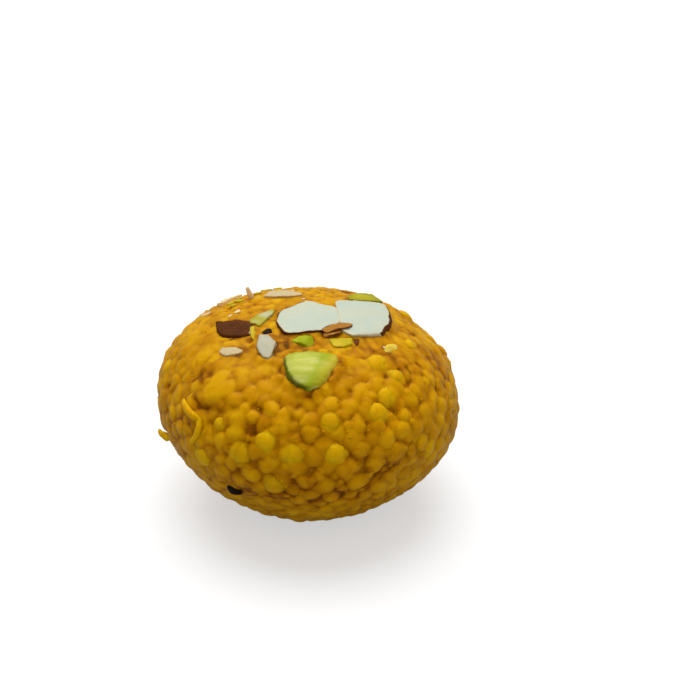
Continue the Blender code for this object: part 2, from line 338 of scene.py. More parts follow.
# %% Bold pearls and plain ones
# The boldest pearls of the front: azimuth and elevation in degrees, the radius in mm that shows,
# and shade, from 0 for deep gold to 1 for pale yellow. The paler a pearl, the prouder it stands.
BOLD_PEARLS = (
    (-161, 32.5, 1.50, 0.60),
    (-158, 23.5, 0.85, 0.45),
    (-142, 8.5, 0.85, 0.50),
    (-136, 25.5, 2.10, 0.62),
    (-133, 0.5, 1.35, 0.95),
    (-129, 36.5, 1.20, 0.60),
    (-127, 16, 0.85, 0.74),
    (-125, 21.5, 1.00, 0.60),
    (-125, 10, 1.15, 0.62),
    (-124, 3.5, 1.00, 0.45),
    (-119, 15.5, 1.20, 0.64),
    (-118, 24.5, 0.75, 0.62),
    (-116, 8.5, 1.60, 0.74),
    (-113, 22.5, 0.75, 0.60),
    (-112, 33.5, 1.35, 0.46),
    (-111, 0, 1.20, 0.60),
    (-106, 26.5, 1.00, 0.62),
    (-106, 14, 1.35, 0.88),
    (-105, 4.5, 1.00, 0.45),
    (-102, -2.5, 1.50, 0.68),
    (-100, 24.5, 0.85, 0.62),
    (-100, 20.5, 1.20, 0.56),
    (-95, 10.5, 1.70, 0.70),
    (-88, 23.5, 1.00, 0.56),
    (-88, 18, 1.20, 0.58),
    (-85, 1.5, 0.85, 0.48),
    (-80, 21.5, 1.40, 0.72),
    (-79, 9.5, 1.45, 1.00),
    (-78, 28.5, 1.00, 0.56),
    (-76, 3.5, 0.85, 0.50),
    (-71, 14.5, 1.35, 0.52),
    (-70, -3.5, 1.65, 0.60),
    (-69, 27, 1.35, 0.62),
    (-68, 19, 1.00, 0.56),
    (-63, 3.5, 1.35, 0.62),
    (-61, 31.5, 1.10, 0.62),
    (-58, 20.5, 1.55, 0.70),
    (-50, 25.5, 1.35, 0.68),
    (-50, 12.5, 1.20, 0.58),
    (-46, 17.5, 0.85, 0.64),
    (-46, -1.5, 0.85, 0.60),
    (-42, 11, 1.15, 0.58),
    (-41, 38.5, 1.60, 0.68),
    (-41, 4.5, 1.10, 0.68),
    (-38, 30.5, 1.10, 0.70),
    (-36, 14.5, 1.10, 0.60),
    (-34, 23.5, 0.90, 0.62),
)
SHOWN = 0.7  # the share of a pearl's radius that shows between its neighbours
CROWDED = 0.45  # mm by which a pearl is lowered that lies over a bold one
PEARL_ROUND = 0.60  # a pearl's radius, as a share of the distance to its neighbours
RADIUS_SPREAD = 0.17
PLAIN_SHADE = 0.44
PLAIN_SHADE_SPREAD = 0.08
PLAIN_STAND = 0.65  # share of its stand that a plain pearl keeps
BRIGHT_SHARE = 0.13  # share of the plain pearls that are brighter than the rest
BRIGHT_SHADES = (0.42, 0.68)
BRIGHT_STANDS = (0.0, 0.15)  # mm that a bright pearl stands out
BOLD_STAND = 0.4  # mm that a bold pearl stands out, for each unit of shade above the level one
BOLD_LEVEL = 0.4  # shade of a bold pearl that is level with the outline
CROWD_REACH = 1.3  # how many of a bold pearl's radii its crowding reaches

chance = np.random.default_rng(23)
pearl_radius = PEARL_ROUND * pearl_room * np.exp(chance.normal(0.0, RADIUS_SPREAD, PEARLS))
pearl_shade = np.clip(chance.normal(PLAIN_SHADE, PLAIN_SHADE_SPREAD, PEARLS), 0.0, 1.0)
pearl_stand = PLAIN_STAND * pearl_proud
bright = chance.uniform(size=PEARLS) < BRIGHT_SHARE
pearl_shade[bright] = chance.uniform(*BRIGHT_SHADES, bright.sum())
pearl_stand[bright] = chance.uniform(*BRIGHT_STANDS, bright.sum())
bold = np.zeros(PEARLS, dtype=bool)
for azimuth, elevation, radius, shade in BOLD_PEARLS:
    way = heading(azimuth, elevation)
    nearest = np.argmax(np.where(bold, -1.0, pearl_ways @ way))
    pearl_ways[nearest] = way
    pearl_radius[nearest] = radius / SHOWN
    pearl_stand[nearest] = BOLD_STAND * (shade - BOLD_LEVEL)
    pearl_shade[nearest] = shade
    bold[nearest] = True
bold_spots = (pearl_ways * round_radius(pearl_ways)[:, None])[bold]
bold_shown = SHOWN * pearl_radius[bold]


def crowding(ways):
    """How much of each direction's place a bold pearl takes: reach - distance / radius, 0 to 1."""
    spots = ways * round_radius(ways)[:, None]
    near = (np.linalg.norm(spots[:, None] - bold_spots[None], axis=2) / bold_shown).min(axis=1)
    return np.clip(CROWD_REACH - near, 0.0, 1.0)


pearl_stand = np.where(bold, pearl_stand, pearl_stand - CROWDED * crowding(pearl_ways))
bold |= bright & (crowding(pearl_ways) == 0.0)
pearl_top = pressed_radius(pearl_ways) + pearl_stand
print(f"{bold.sum()} bold pearls")

# %% [markdown]
# ## How high the crumb lies
#
# Where pearls touch, syrup fills the joint, so the height over a direction is a soft maximum: the
# logarithm of a sum of exponentials, which is a little more than the largest where two are equal.
# The same sums tell which pearl is on top, how near its edge is, and where two pearls meet, and the
# material darkens those places: the syrup in the joints, and painted shade towards each pearl's
# covered edge. The hand smeared some pearls nearly flat, so their relief is scaled.

# %% Height of the crumb over every direction
# Where the hand smeared the pearls: azimuth, elevation, the share of the relief that went, spread.
SMEARS = (
    (0, 90, 0.38, 34),
    (-134, 28, 0.3, 7),
    (-165, 40, 0.4, 16),
    (-20, 45, 0.5, 14),
)
CRUMB_FLOOR = 0.9  # depth at which the shade painted into a hollow is fullest
PRESSED = 0.54  # share of the pearls' relief that the pressing left
SYRUP = 0.12  # how widely syrup rounds the joints
JOINT_POWER = 1.5  # how much narrower the dark line in a joint is than its rounding
COVERED = 0.32  # how far a pearl's central value has fallen where its neighbours cover it
GROUND_SHADE = 0.34
GROUND_EDGE = 0.5
CHUNK = 4000  # directions worked out at a time, to save memory


def relief(ways):
    """How much of the pearls' relief is left where the hand smeared them: from 0 to 1."""
    left = np.ones(len(ways))
    for azimuth, elevation, amount, spread in SMEARS:
        left = left * (1.0 - amount * hump(ways, azimuth, elevation, spread))
    return left


def meet(ways, centres, radii):
    """Where each ray leaves each ball, and how centrally.

    It leaves at along + sqrt(radius^2 - aside^2), or 0 if it misses, and the second answer is
    sqrt(radius^2 - aside^2) / radius.
    """
    along = ways @ centres.T
    aside = (centres**2).sum(axis=1)[None, :] - along**2
    bulge = np.sqrt(np.clip((radii**2)[None, :] - aside, 0.0, None))
    return np.where(bulge > 0.0, along + bulge, 0.0), bulge / radii[None, :]


def fade(central):
    """How far from a pearl's middle towards its shown edge: (1 - central) / covered, 0 to 1."""
    return np.clip((1.0 - central) / COVERED, 0.0, 1.0)


def fuse(ways, ground, centres, radii, shades):
    """Soft maximum of the ground and every ball's distance, the winning shade, joints and edges.

    Height = top + syrup * log(sum of e^((distance - top) / syrup)), over the balls and the ground.
    A joint is the logarithm of how many balls share the top: 0 on a ball, 1 where two balls meet.
    An edge is 0 at the middle of the winning ball and 1 where its neighbours cover it.
    """
    height, shade, joint, edge = np.empty((4, len(ways)))
    for start in range(0, len(ways), CHUNK):
        part = slice(start, start + CHUNK)
        reach, central = meet(ways[part].astype(np.float32), centres, radii)
        top = np.maximum(reach.max(axis=1), ground[part])[:, None]
        weight = np.exp((reach - top) / SYRUP)
        floor = np.exp((ground[part] - top[:, 0]) / SYRUP)
        whole = weight.sum(axis=1) + floor
        height[part] = top[:, 0] + SYRUP * np.log(whole)
        shade[part] = (weight @ shades + GROUND_SHADE * floor) / whole
        joint[part] = np.log2((weight**JOINT_POWER).sum(axis=1) + floor**JOINT_POWER)
        edge[part] = ((weight * fade(central)).sum(axis=1) + GROUND_EDGE * floor) / whole
    return height, shade, np.clip(joint, 0.0, 1.0), edge


print(f"relief kept: {PRESSED:.0%}, and less in {len(SMEARS)} smears")

# %% Finer grains in the valleys
GRAINS = 1700
GRAIN_TRIES = 5  # random directions tried for each grain
GRAIN_RADII = (0.55, 1.0)
GRAIN_DEPTHS = (0.05, 0.40)  # mm below the outline
GRAIN_SHADES = (0.2, 0.6)
GRAIN_CHUNK = 1000


def gap_spots(count):
    """Every other one of the random directions that lie farthest from any pearl.

    Farness is distance / radius to the nearest pearl.
    """
    tries = unit(chance.normal(size=(GRAIN_TRIES * count, 3)))
    spots = tries * round_radius(tries)[:, None]
    held = pearl_ways * round_radius(pearl_ways)[:, None]
    away = []
    for start in range(0, len(tries), GRAIN_CHUNK):
        gaps = np.linalg.norm(spots[start : start + GRAIN_CHUNK, None] - held[None], axis=2)
        away.append((gaps / pearl_radius).min(axis=1))
    return tries[np.argsort(-np.concatenate(away))[: 2 * count]][::2]


grain_ways = gap_spots(GRAINS)
grain_radius = chance.uniform(*GRAIN_RADII, len(grain_ways))
grain_top = pressed_radius(grain_ways) - chance.uniform(*GRAIN_DEPTHS, len(grain_ways))
grain_top -= CROWDED * crowding(grain_ways)
print(f"{len(grain_ways)} grains between them")

# %% [markdown]
# ## Creases, stains and painted shade
#
# Clusters of pearls come apart a little in cracks, and syrup pools and darkens in patches. A crack
# could be cut with a tool, but on a height over directions it is simply taken off: as much as its
# depth on a path between a few headings, falling off to the sides as a bell curve, and shade is
# painted into it as well. A stain adds to the same value that says how hollow, and so how dark,
# each point is. Some of the patches are painted shade, and the pale ones are painted light.

# %% Creases, stains and painted shade
# Creases: depth in mm, width in degrees, and the headings that each runs through.
CREASES = (
    (0.70, 1.8, ((-142, 19.5), (-135, 19.5), (-130, 20), (-122, 23))),
    (0.40, 1.6, ((-154, 25), (-150, 28.5), (-146, 33))),
    (0.40, 1.2, ((-132, 15), (-129, 13))),
    (0.45, 1.2, ((-101, 2.5), (-95.5, 3), (-94.5, 0.5), (-95, -3))),
    (0.40, 1.6, ((-84, 16), (-78, 15))),
    (0.45, 1.3, ((-75, 8.5), (-71, 7.5), (-67, 5.5))),
    (0.60, 1.4, ((-57, 26.5), (-53, 23.5), (-50, 20.5), (-51, 18), (-55, 17))),
    (0.35, 1.3, ((-48, 31.5), (-44, 28), (-43.5, 24.5), (-39.5, 22.5))),
    (0.70, 1.5, ((-53, -0.5), (-60, 0.5), (-63, -4), (-66, -7.5), (-71, -8), (-77, -7.5))),
    (0.35, 1.5, ((-27, 19), (-18, 15.5))),
    (0.30, 1.3, ((-147, 13.5), (-142.5, 12))),
    (0.40, 1.3, ((-119, -11), (-106, -7), (-95, -5))),
    (0.45, 1.4, ((150, 5), (140, 8), (131, 6), (124, 10))),
    (0.50, 1.5, ((95, -5), (84, -2), (76, -6), (66, -4))),
    (0.40, 1.3, ((22, 12), (13, 8), (8, 1), (-1, -3))),
    (0.50, 1.4, ((171, -10), (180, -6), (-171, -9), (-163, -7))),
    (0.40, 1.3, ((58, 22), (48, 19), (40, 21))),
    (0.40, 1.3, ((110, 18), (101, 22), (93, 19))),
)
# Dark patches, partly stains where syrup pooled and partly painted shade, and pale spots of
# painted light where the dark is negative: azimuth, elevation, how dark, and spread in degrees.
PAINTED_SHADE_AND_STAINS = (
    (-153, 28, 0.40, 5),
    (-157, 48, 0.45, 5),
    (-150, 54, 0.40, 5),
    (-136, 50, 0.25, 6),
    (-134, 40, 0.22, 9),
    (-133, 65, 0.55, 5),
    (-117, 64, 0.50, 6),
    (-97, 61, 0.55, 6),
    (-93, 31, 0.40, 5),
    (-72, 42, 0.30, 6),
    (-68, 56, 0.30, 4),
    (-69, 71, 0.70, 6),
    (-27, 51, 0.35, 5),
    (-5, 34, 0.33, 12),
    (-57, 52, 0.45, 4),
    (-38, 44, 0.35, 9),
    (-27, 27, 0.18, 7),
    (-96, 21, -0.20, 4),
    (-35, 5, -0.20, 9),
    (-85, 1, 0.20, 10),
    (-67, -12, 0.15, 6),
    (-61, -4, 0.15, 5),
    (-116, -3, 0.45, 5),
    (-125, -6, 0.25, 5),
    (-108, -10, 0.30, 5),
    (60, 35, 0.30, 9),
    (130, 52, 0.20, 14),
    (130, -8, 0.30, 9),
    (15, -12, 0.30, 8),
    (-48, 1, -0.25, 9),
    (0, 90, 0.10, 40),
)


FOLD_DARK = 1.2  # degrees below the lip where the fold is darkest
FOLD_DARK_WIDTH = 2.4


def crease_nearness(ways, width, path):
    """1 on a path over the round, falling to the sides: e^-(distance / width)^2."""
    points = np.array([heading(*place) for place in path])
    least = np.full(len(ways), np.inf)
    for start, end in zip(points[:-1], points[1:]):
        leg = end - start
        along = np.clip((ways - start) @ leg / (leg @ leg), 0.0, 1.0)
        away = ways - start - along[:, None] * leg
        least = np.minimum(least, np.sqrt((away**2).sum(axis=1)))
    return np.exp(-((np.degrees(least) / width) ** 2))


def fold_shadow(ways):
    """How dark it is under the fold's lip: depth * e^-((below - darkest) / width)^2."""
    depth, below = fold_near(ways)
    return depth * np.exp(-(((below - FOLD_DARK) / FOLD_DARK_WIDTH) ** 2))


print(f"{len(CREASES)} creases, {len(PAINTED_SHADE_AND_STAINS)} stains and pale spots")


# %% [markdown]
# ## The eleven chips of nut
#
# Eleven chips lie on the crown: white almond slices, green pistachio and a piece with its brown
# skin up. A knife leaves straight sides, so a chip is told by its sides and not by an outline drawn
# point by point. The same numbers make the chip and press the crumb down beneath it, so the two
# fit.

# %% The eleven chips
# "lean" is the azimuth and elevation of a chip's upward normal, "thick" its thickness, "arch" how
# far its middle is raised, and "nudge" how far it lies from its solid's middle along its own axes,
# in mm. Each side is a direction in degrees and a distance in mm at half height, and where wanted
# how much farther out it runs at the underside, and how much skin is on it. "top_skin" is skin on
# the top, a lower "soft" makes the edges rounder, and "bank" is how high the crumb is banked up
# beside the chip, as a share of its thickness. A "bevel" is a second top face: its direction, where
# it starts and its slope. On a pistachio, "heart" is the palest spot, and "ripe" the direction and
# start of a yellow end. "slot" names the finish that may be changed for another.
CHIPS = {
    "almond_slice_left": {
        "lean": (-90, 88),
        "thick": 1.1,
        "arch": 0.2,
        "nudge": (0.2, 0.4, -0.25),
        "sides": (
            (164, 4.65, 0.0, 1.0),
            (128, 4.2, 0.1, 1.0),
            (90, 5.1),
            (63, 4.8),
            (11, 5.5),
            (-40, 5.2),
            # Skin on this front side also makes the thin dark line under the slice's edge: partly
            # the nut's skin, partly painted shadow.
            (-79, 4.4, -0.3, 1.0),
            (-133, 5.75, -0.05, 1.0),
            (-161, 5.3, 0.0, 1.0),
            (-175, 5.1, 0.0, 1.0),
        ),
        "slot": "almond",
    },
    "almond_slice_right": {
        "lean": (-5, 81),
        "thick": 1.3,
        "arch": 0.3,
        "nudge": (0.0, 0.45, -0.3),
        "sides": (
            (124, 6.6),
            (98, 5.7),
            (48, 6.4),
            (14, 5.0, 0.25, 1.0),
            (-3, 4.3, 0.35, 1.0),
            (-24, 4.2, 0.35, 1.0),
            (-69, 4.9, 0.05),
            (-79, 5.0, -0.25),
            (-125, 6.1),
            (-173, 4.3, -0.25),
        ),
        "slot": "almond",
    },
    "pistachio_chunk": {
        "lean": (-88, 70),
        "thick": 2.8,
        "arch": 0.7,
        "nudge": (0.0, 0.8, 0.0),
        "bevel": (-12, 1.0, 0.18),
        "heart": (-0.6, 0.9),
        "ripe": (-20, 1.2),
        "soft": 8.0,
        "bank": 0.2,
        "sides": (
            (118, 5.0, 0.1),
            (90, 3.7, 0.1),
            (19, 5.6, 0.1),
            (-20, 3.8, 0.15),
            (-33, 3.35, 0.15),
            (-62, 3.6, 0.15),
            (-110, 3.85, 0.1, 0.8),
            (-135, 3.75, 0.1, 1.0),
            (-158, 3.95, 0.1, 1.0),
            (177, 4.35, 0.05, 0.7),
        ),
        "slot": "pistachio",
    },
    "pistachio_small": {
        "lean": (-92, 82),
        "thick": 1.2,
        "arch": 0.3,
        "nudge": (0.2, 0.9, -0.2),
        "bevel": (-20, 0.3, 0.3),
        "heart": (-0.9, 0.6),
        "soft": 10.0,
        "bank": 0.3,
        "sides": (
            (135, 1.8),
            (90, 1.5),
            (18, 1.4),
            (-4, 1.5, 0.1),
            (-60, 1.7, 0.1),
            (-118, 1.1, 0.1, 0.5),
        ),
        "slot": "pistachio",
    },
    "almond_brown": {
        "lean": (-171, 76),
        "thick": 1.2,
        "arch": 0.25,
        "nudge": (0.2, 0.55, -0.1),
        "top_skin": 1.0,
        "sides": (
            (76, 2.6, 0.1, 1.0),
            (56, 2.4, 0.1, 1.0),
            (26, 2.8, 0.1, 0.8),
            (-14, 3.3, 0.1),
            (-91, 2.7, 0.15, 1.0),
            (-115, 2.3, 0.15, 1.0),
            (-153, 2.6, 0.1, 1.0),
            (-172, 3.0, 0.1, 1.0),
        ),
        "slot": "almond_skin",
    },
    "pistachio_pale_slice": {
        "lean": (176, 83),
        "thick": 0.9,
        "arch": 0.1,
        "nudge": (0.4, 0.2, -0.2),
        "heart": (0.5, 0.5),
        "sides": ((145, 1.4), (114, 1.4), (-7, 1.5, 0.1), (-32, 0.95, 0.0, 0.3), (-136, 2.3)),
        "slot": "pistachio_pale",
    },
    "almond_chunk": {
        "lean": (-123, 78),
        "thick": 1.6,
        "arch": 0.3,
        "nudge": (0.0, 0.85, -0.2),
        "bank": 0.3,
        "sides": (
            (82, 3.1),
            (32, 1.9, 0.15, 0.7),
            (-12, 1.3, 0.2, 0.3),
            (-41, 2.0, 0.05),
            (-127, 2.1, 0.0),
            (-158, 1.5, 0.05),
            (171, 1.9),
        ),
        "slot": "almond",
    },
    "almond_flake": {
        "lean": (-147, 71),
        "thick": 0.7,
        "arch": 0.1,
        "sides": (
            (151, 1.9),
            (75, 0.95),
            (43, 1.25),
            (-56, 1.5),
            (-87, 0.95),
            (-117, 1.0),
            (-145, 1.4),
        ),
        "slot": "almond",
    },
    "pistachio_flake": {
        "lean": (-54, 81),
        "thick": 0.8,
        "arch": 0.1,
        "nudge": (0.2, 0.4, -0.15),
        "heart": (-1.0, -0.8),
        "sides": ((-161, 1.7), (-88, 1.2), (-54, 1.1), (-5, 1.5), (100, 0.95)),
        "slot": "pistachio_pale",
    },
    "almond_slice_rear": {
        "lean": (118, 81),
        "thick": 0.7,
        "arch": 0.1,
        "nudge": (-0.1, 1.5, -0.25),
        "sides": (
            (159, 3.0),
            (88, 1.5),
            (61, 1.4),
            (16, 2.8),
            (-82, 1.5, -0.1),
            (-96, 1.3, -0.1),
            (-107, 1.5),
        ),
        "slot": "almond",
    },
    "pistachio_slice_rear": {
        "lean": (42, 75),
        "thick": 1.2,
        "arch": 0.2,
        "nudge": (-0.2, 0.8, -0.35),
        "sides": (
            (145, 1.9),
            (103, 2.4),
            (33, 2.8),
            (-60, 1.8, 0.1, 0.8),
            (-91, 2.1, 0.1, 1.0),
            (-148, 2.9),
        ),
        "slot": "pistachio",
    },
}


def chip_frame(chip):
    """Axes of a chip as rows: X stays nearest to +X, and Z leans as told."""
    up = heading(*chip["lean"])
    along = unit(np.array([1.0, 0.0, 0.0]) - up[0] * up)
    return np.stack([along, np.cross(up, along), up])


def node_middle(name):
    """Middle of a solid's box, in mm from the middle of the widest level."""
    low, high = (np.array(corner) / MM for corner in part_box(name))
    return 0.5 * (low + high) - [0.0, 0.0, SEAT_LEVEL]


def chip_middle(name, chip):
    """Where a chip's middle lies: its solid's middle plus its nudge along its own three axes."""
    return node_middle(name) + np.array(chip.get("nudge", (0.0, 0.0, 0.0))) @ chip_frame(chip)


print(f"{len(CHIPS)} chips, the thickest {max(chip['thick'] for chip in CHIPS.values())} mm")

# %% [markdown]
# ## Crumb beneath and beside a chip
#
# A chip that is pushed into warm crumb sinks it, and pushes a little of it up beside. A Boolean cut
# would leave a hard hole, so the crumb's points are moved instead: those under the chip go down
# below its middle, those just beside it rise, and both die away smoothly. The chip's soft shadow
# on the crumb around it is painted into the crumb's colour.

# %% Pressing the crumb under a chip
SINK_REACH = 4.0  # mm above or below a chip's middle within which it moves the crumb
SINK_BELOW = 0.1  # how far below a chip's middle the crumb ends, as a share of its thickness
SINK_EDGE = 0.5  # mm inside and outside a chip's side over which the sinking begins
BANK_REACH = 1.5  # mm beside a chip over which the crumb is banked up
BANK_RISE = 0.12  # height of the bank over a chip's middle, as a share of its thickness
BANK_MOST = 0.8  # mm that a bank may raise the crumb
BANK_DEPTH = 1.5  # mm below a chip's middle under which no crumb is banked up
BANK_INSIDE = 1.0  # mm inside a chip's side to which the bank runs
BANK_EVEN = 0.7  # mean share of the bank's height that is made up, and how much it varies
BANK_UNEVEN = 0.15
SHADOW_REACH = 2.5  # mm above or below a chip's middle within which its shadow is painted on the crumb


def press_under(spots, name, chip):
    """Points pushed down under a chip and up beside it, and the chip's painted shadow at each.

    Along the chip's normal a point moves by beside * (bank - level) - inside * (level - floor). How
    far it is beyond the sides is the largest of (way . side's direction) - side's distance.
    """
    axes = chip_frame(chip)
    local = (spots - chip_middle(name, chip)) @ axes.T
    level = local[:, 2]
    sides = np.array([side[:2] for side in chip["sides"]])
    turns = np.radians(sides[:, 0])
    beyond = (local[:, :2] @ np.stack([np.cos(turns), np.sin(turns)]) - sides[:, 1]).max(axis=1)
    inside = smooth(np.clip(SINK_EDGE - beyond, 0.0, 1.0))
    over = np.clip(level + SINK_BELOW * chip["thick"], 0.0, None)
    over = np.where(np.abs(level) < SINK_REACH, over, 0.0)
    beside = smooth(np.clip(1.0 - np.clip(beyond, 0.0, None) / BANK_REACH, 0.0, 1.0))
    beside = beside * (beyond > -BANK_INSIDE)
    bank = chip.get("bank", BANK_RISE) * chip["thick"]
    short = np.clip(bank - level, 0.0, BANK_MOST) * (level > -BANK_DEPTH)
    short = short * (BANK_EVEN + BANK_UNEVEN * ripple(spots, 2.2, 12))
    shadow = beside**3 * (np.abs(level) < SHADOW_REACH)
    return spots + (beside * short - inside * over)[:, None] * axes[2], shadow


print("banks reach", BANK_REACH, "mm from a chip")

# %% Height and shade of the crumb
WOBBLE = 0.008  # how far each direction is bent, so that no joint runs straight
GROUND_DEPTH = 0.85  # mm below the outline of the ground that shows between the balls
GROUND_UNEVEN = 0.15
FOLD_DARKNESS = 0.4
JOINT_DARKNESS = 0.14
EDGE_SHADE_PAINT = 0.20
CREASE_SHARE = 0.6  # share of a crease's depth that is cut, and painted as shade
CREASE_SPREAD = 1.4  # how much wider a crease's painted shade is than its cut
BLOTCH_EVEN = 0.85  # mean strength of the stains and painted shade, and how much it varies
BLOTCH_UNEVEN = 0.45
CHIP_SHADOW_PAINT = 0.24

ball_ways = np.concatenate([pearl_ways, grain_ways])
radii = np.concatenate([pearl_radius, grain_radius])
ball_tops = np.concatenate([pearl_top, grain_top])
shades = np.concatenate([pearl_shade, chance.uniform(*GRAIN_SHADES, len(grain_ways))])
centres = ball_ways * (ball_tops - radii)[:, None]
outer = pressed_radius(crumb_ways)
spots = crumb_ways * outer[:, None]
wobble = np.stack([ripple(spots, 3.2, seed) for seed in (1, 2, 3)], axis=1)
bent_ways = unit(crumb_ways + WOBBLE * wobble)
ground = outer - GROUND_DEPTH + GROUND_UNEVEN * ripple(spots, 7.0, 4)
crumb_height, crumb_shade, crumb_joint, crumb_edge = fuse(
    bent_ways, *(values.astype(np.float32) for values in (ground, centres, radii, shades))
)
left = relief(crumb_ways)
crumb_radius = outer - (outer - crumb_height) * PRESSED * left
crumb_radius += 0.03 * ripple(spots, 1.2, 5) + 0.06 * ripple(spots, 3.0, 6)
# Painted shade: the crumb darkens with its depth below the outline, under the fold's lip, towards
# each pearl's covered edge and in the creases. The joints darken with their syrup.
crumb_painted_shade_and_syrup = (outer - crumb_radius) / CRUMB_FLOOR + FOLD_DARKNESS * fold_shadow(crumb_ways)
crumb_painted_shade_and_syrup += left * (JOINT_DARKNESS * crumb_joint + EDGE_SHADE_PAINT * crumb_edge)
for depth, width, path in CREASES:
    crease = crease_nearness(bent_ways, CREASE_SPREAD * width, path)
    crumb_radius -= CREASE_SHARE * depth * crease_nearness(bent_ways, width, path)
    crumb_painted_shade_and_syrup += CREASE_SHARE * depth * crease
# Syrup stains and painted shade darken the crumb, and the negative amounts are painted light.
blotches = BLOTCH_EVEN + BLOTCH_UNEVEN * ripple(spots, 1.5, 8)
for azimuth, elevation, amount, spread in PAINTED_SHADE_AND_STAINS:
    crumb_painted_shade_and_syrup += amount * hump(bent_ways, azimuth, elevation, spread) * blotches
print(f"crumb up to {(outer - crumb_radius).max():.2f} mm below the outline")

# %% Make the crumb
free_spots = seat(crumb_ways * crumb_radius[:, None])
crumb_spots = free_spots
# Each chip presses the crumb down and paints its shadow into the crumb's colour.
for name, chip in CHIPS.items():
    crumb_spots, shadow = press_under(crumb_spots, name, chip)
    crumb_painted_shade_and_syrup += CHIP_SHADOW_PAINT * shadow
crumb = make_piece(
    "fused_crumb",
    crumb_spots,
    crumb_quads,
    replaces=("ladoo_body",),
    values={"shade": crumb_shade, "hollow": np.clip(crumb_painted_shade_and_syrup, 0.0, 1.0)},
)

# %% [markdown]
# ## Pearls that stand proud
#
# The palest bold pearls were pressed less hard and show as beads of their own. A height over
# directions can't overhang, so each of them also gets a bead, set on the knob that the fused skin
# has there. A bead is a small ball worked out on a grid of rings, with most rings on its outer
# half, where it shows. All are stretched, squashed and turned a little differently, in one mesh.

# %% A bead on rings, and copies of it
BEAD_AROUND = 12
BEAD_RINGS = (0.0, 20.0, 42.0, 62.0, 82.0, 108.0, 180.0)  # degrees from the bead's outer end


def closed_rings(rings):
    """Points and faces of a closed skin whose first and last rings have shrunk to points."""
    count, around = rings.shape[:2]
    points = np.concatenate([rings[0, :1], rings[1:-1].reshape(-1, 3), rings[-1, :1]])
    here = 1 + np.arange((count - 2) * around).reshape(count - 2, around)
    beside = np.roll(here, -1, axis=1)
    quads = np.stack([here[:-1], here[1:], beside[1:], beside[:-1]], axis=-1).reshape(-1, 4)
    top = np.stack([np.zeros(around, int), here[0], beside[0]], axis=-1)
    last = np.full(around, len(points) - 1)
    end = np.stack([last, beside[-1], here[-1]], axis=-1)
    return points, [np.concatenate([top, end]), quads]


def polar_ways(downs, around):
    """Unit vectors on rings: (sin down * cos turn, sin down * sin turn, cos down)."""
    down = np.radians(np.asarray(downs))[:, None]
    turn = np.linspace(0.0, 2.0 * np.pi, around, endpoint=False)[None, :]
    level = np.sin(down) * np.ones_like(turn)
    rise = np.cos(down) * np.ones_like(turn)
    return np.stack([level * np.cos(turn), level * np.sin(turn), rise], axis=-1)


def turned_frames(ups, spins):
    """For every up vector, three axes: two level with the surface, turned by the spin, and up."""
    aside = unit(np.cross(ups, [0.31, 0.95, 0.05]))
    across = np.cross(ups, aside)
    cos, sin = np.cos(spins)[:, None], np.sin(spins)[:, None]
    return np.stack([aside * cos + across * sin, across * cos - aside * sin, ups], axis=1)


def copies(points, faces, frames, scales, places):
    """Copies of one shape as joined arrays: (point * scale) turned by a frame, plus a place."""
    made = np.einsum("kpa,kab->kpb", points[None] * scales[:, None], frames) + places[:, None]
    steps = np.arange(len(places))[:, None, None] * len(points)
    joined = [(group[None] + steps).reshape(-1, group.shape[1]) for group in faces]
    return made.reshape(-1, 3), joined


# %% Make the proud pearls
BEAD_SHADE = 0.66  # shade from which a bold pearl gets a bead
BEAD_CLEARANCE = 2.0  # mm above the flat spot below which no bead is made
BEAD_LIFT = 0.03
BEAD_EDGE_SHADE = 0.3  # how much shade is painted towards a bead's edge
BEAD_SQUASH = 1.1  # a bead's height against that of a knob of the crumb
SPIN_MOST = 6.28  # radians, nearly a full turn

bead_points, bead_faces = closed_rings(polar_ways(BEAD_RINGS, BEAD_AROUND))
lone = bold & (pearl_shade >= BEAD_SHADE)
lone &= pearl_ways[:, 2] * pearl_top > BEAD_CLEARANCE - SEAT_LEVEL
beads = int(lone.sum())
bead_ups = unit(pearl_ways[lone] + chance.normal(0.0, 0.08, (beads, 3)))
bead_scale = pearl_radius[lone][:, None] * chance.uniform(0.96, 1.04, (beads, 3))
bead_scale = bead_scale * [1.0, 1.0, BEAD_SQUASH * PRESSED]
bead_place = pearl_ways[lone] * (pearl_top[lone] + BEAD_LIFT - bead_scale[:, 2])[:, None]
bead_spots, joined = copies(
    bead_points,
    bead_faces,
    turned_frames(bead_ups, chance.uniform(0.0, SPIN_MOST, beads)),
    bead_scale,
    bead_place,
)
bead_spots += 0.03 * unit(bead_spots) * ripple(bead_spots, 1.7, 7)[:, None]
bead_depth = pressed_radius(unit(bead_spots)) - np.linalg.norm(bead_spots, axis=1)
# A bead darkens with its depth and towards its edge: painted shade.
bead_painted_shade = bead_depth / CRUMB_FLOOR + np.tile(BEAD_EDGE_SHADE * fade(bead_points[:, 2]), beads)
bead_mesh = make_piece(
    "proud_pearls",
    bead_spots,
    joined,
    values={
        "shade": np.repeat(pearl_shade[lone], len(bead_points)),
        "hollow": np.clip(bead_painted_shade, 0.0, 1.0),
    },
)

# %% [markdown]
# ## Broken bits of pearl
#
# Pressing breaks some pearls, and their bits cling to the syrup all over. Each is tiny, so a flat
# lens of a few faces is enough, and one mesh holds copies of it at random points of the crumb that
# no chip has moved.

# %% Bits of pearl that cling to the surface
PEARL_BITS = 350
PEARL_BIT_SIZES = (0.12, 0.30)  # half the length of a bit, in mm
PEARL_BIT_STRETCH = (0.6, 1.1)
PEARL_BIT_FLAT = [1.0, 1.0, 0.45]
PEARL_BIT_SHADES = (0.4, 0.8)
PEARL_BIT_SHADE_SHARE = 0.6  # share of the crumb's painted shade and syrup dark that a bit on it has
PEARL_BIT_LOWEST = -8.0  # mm, the level below which none is laid

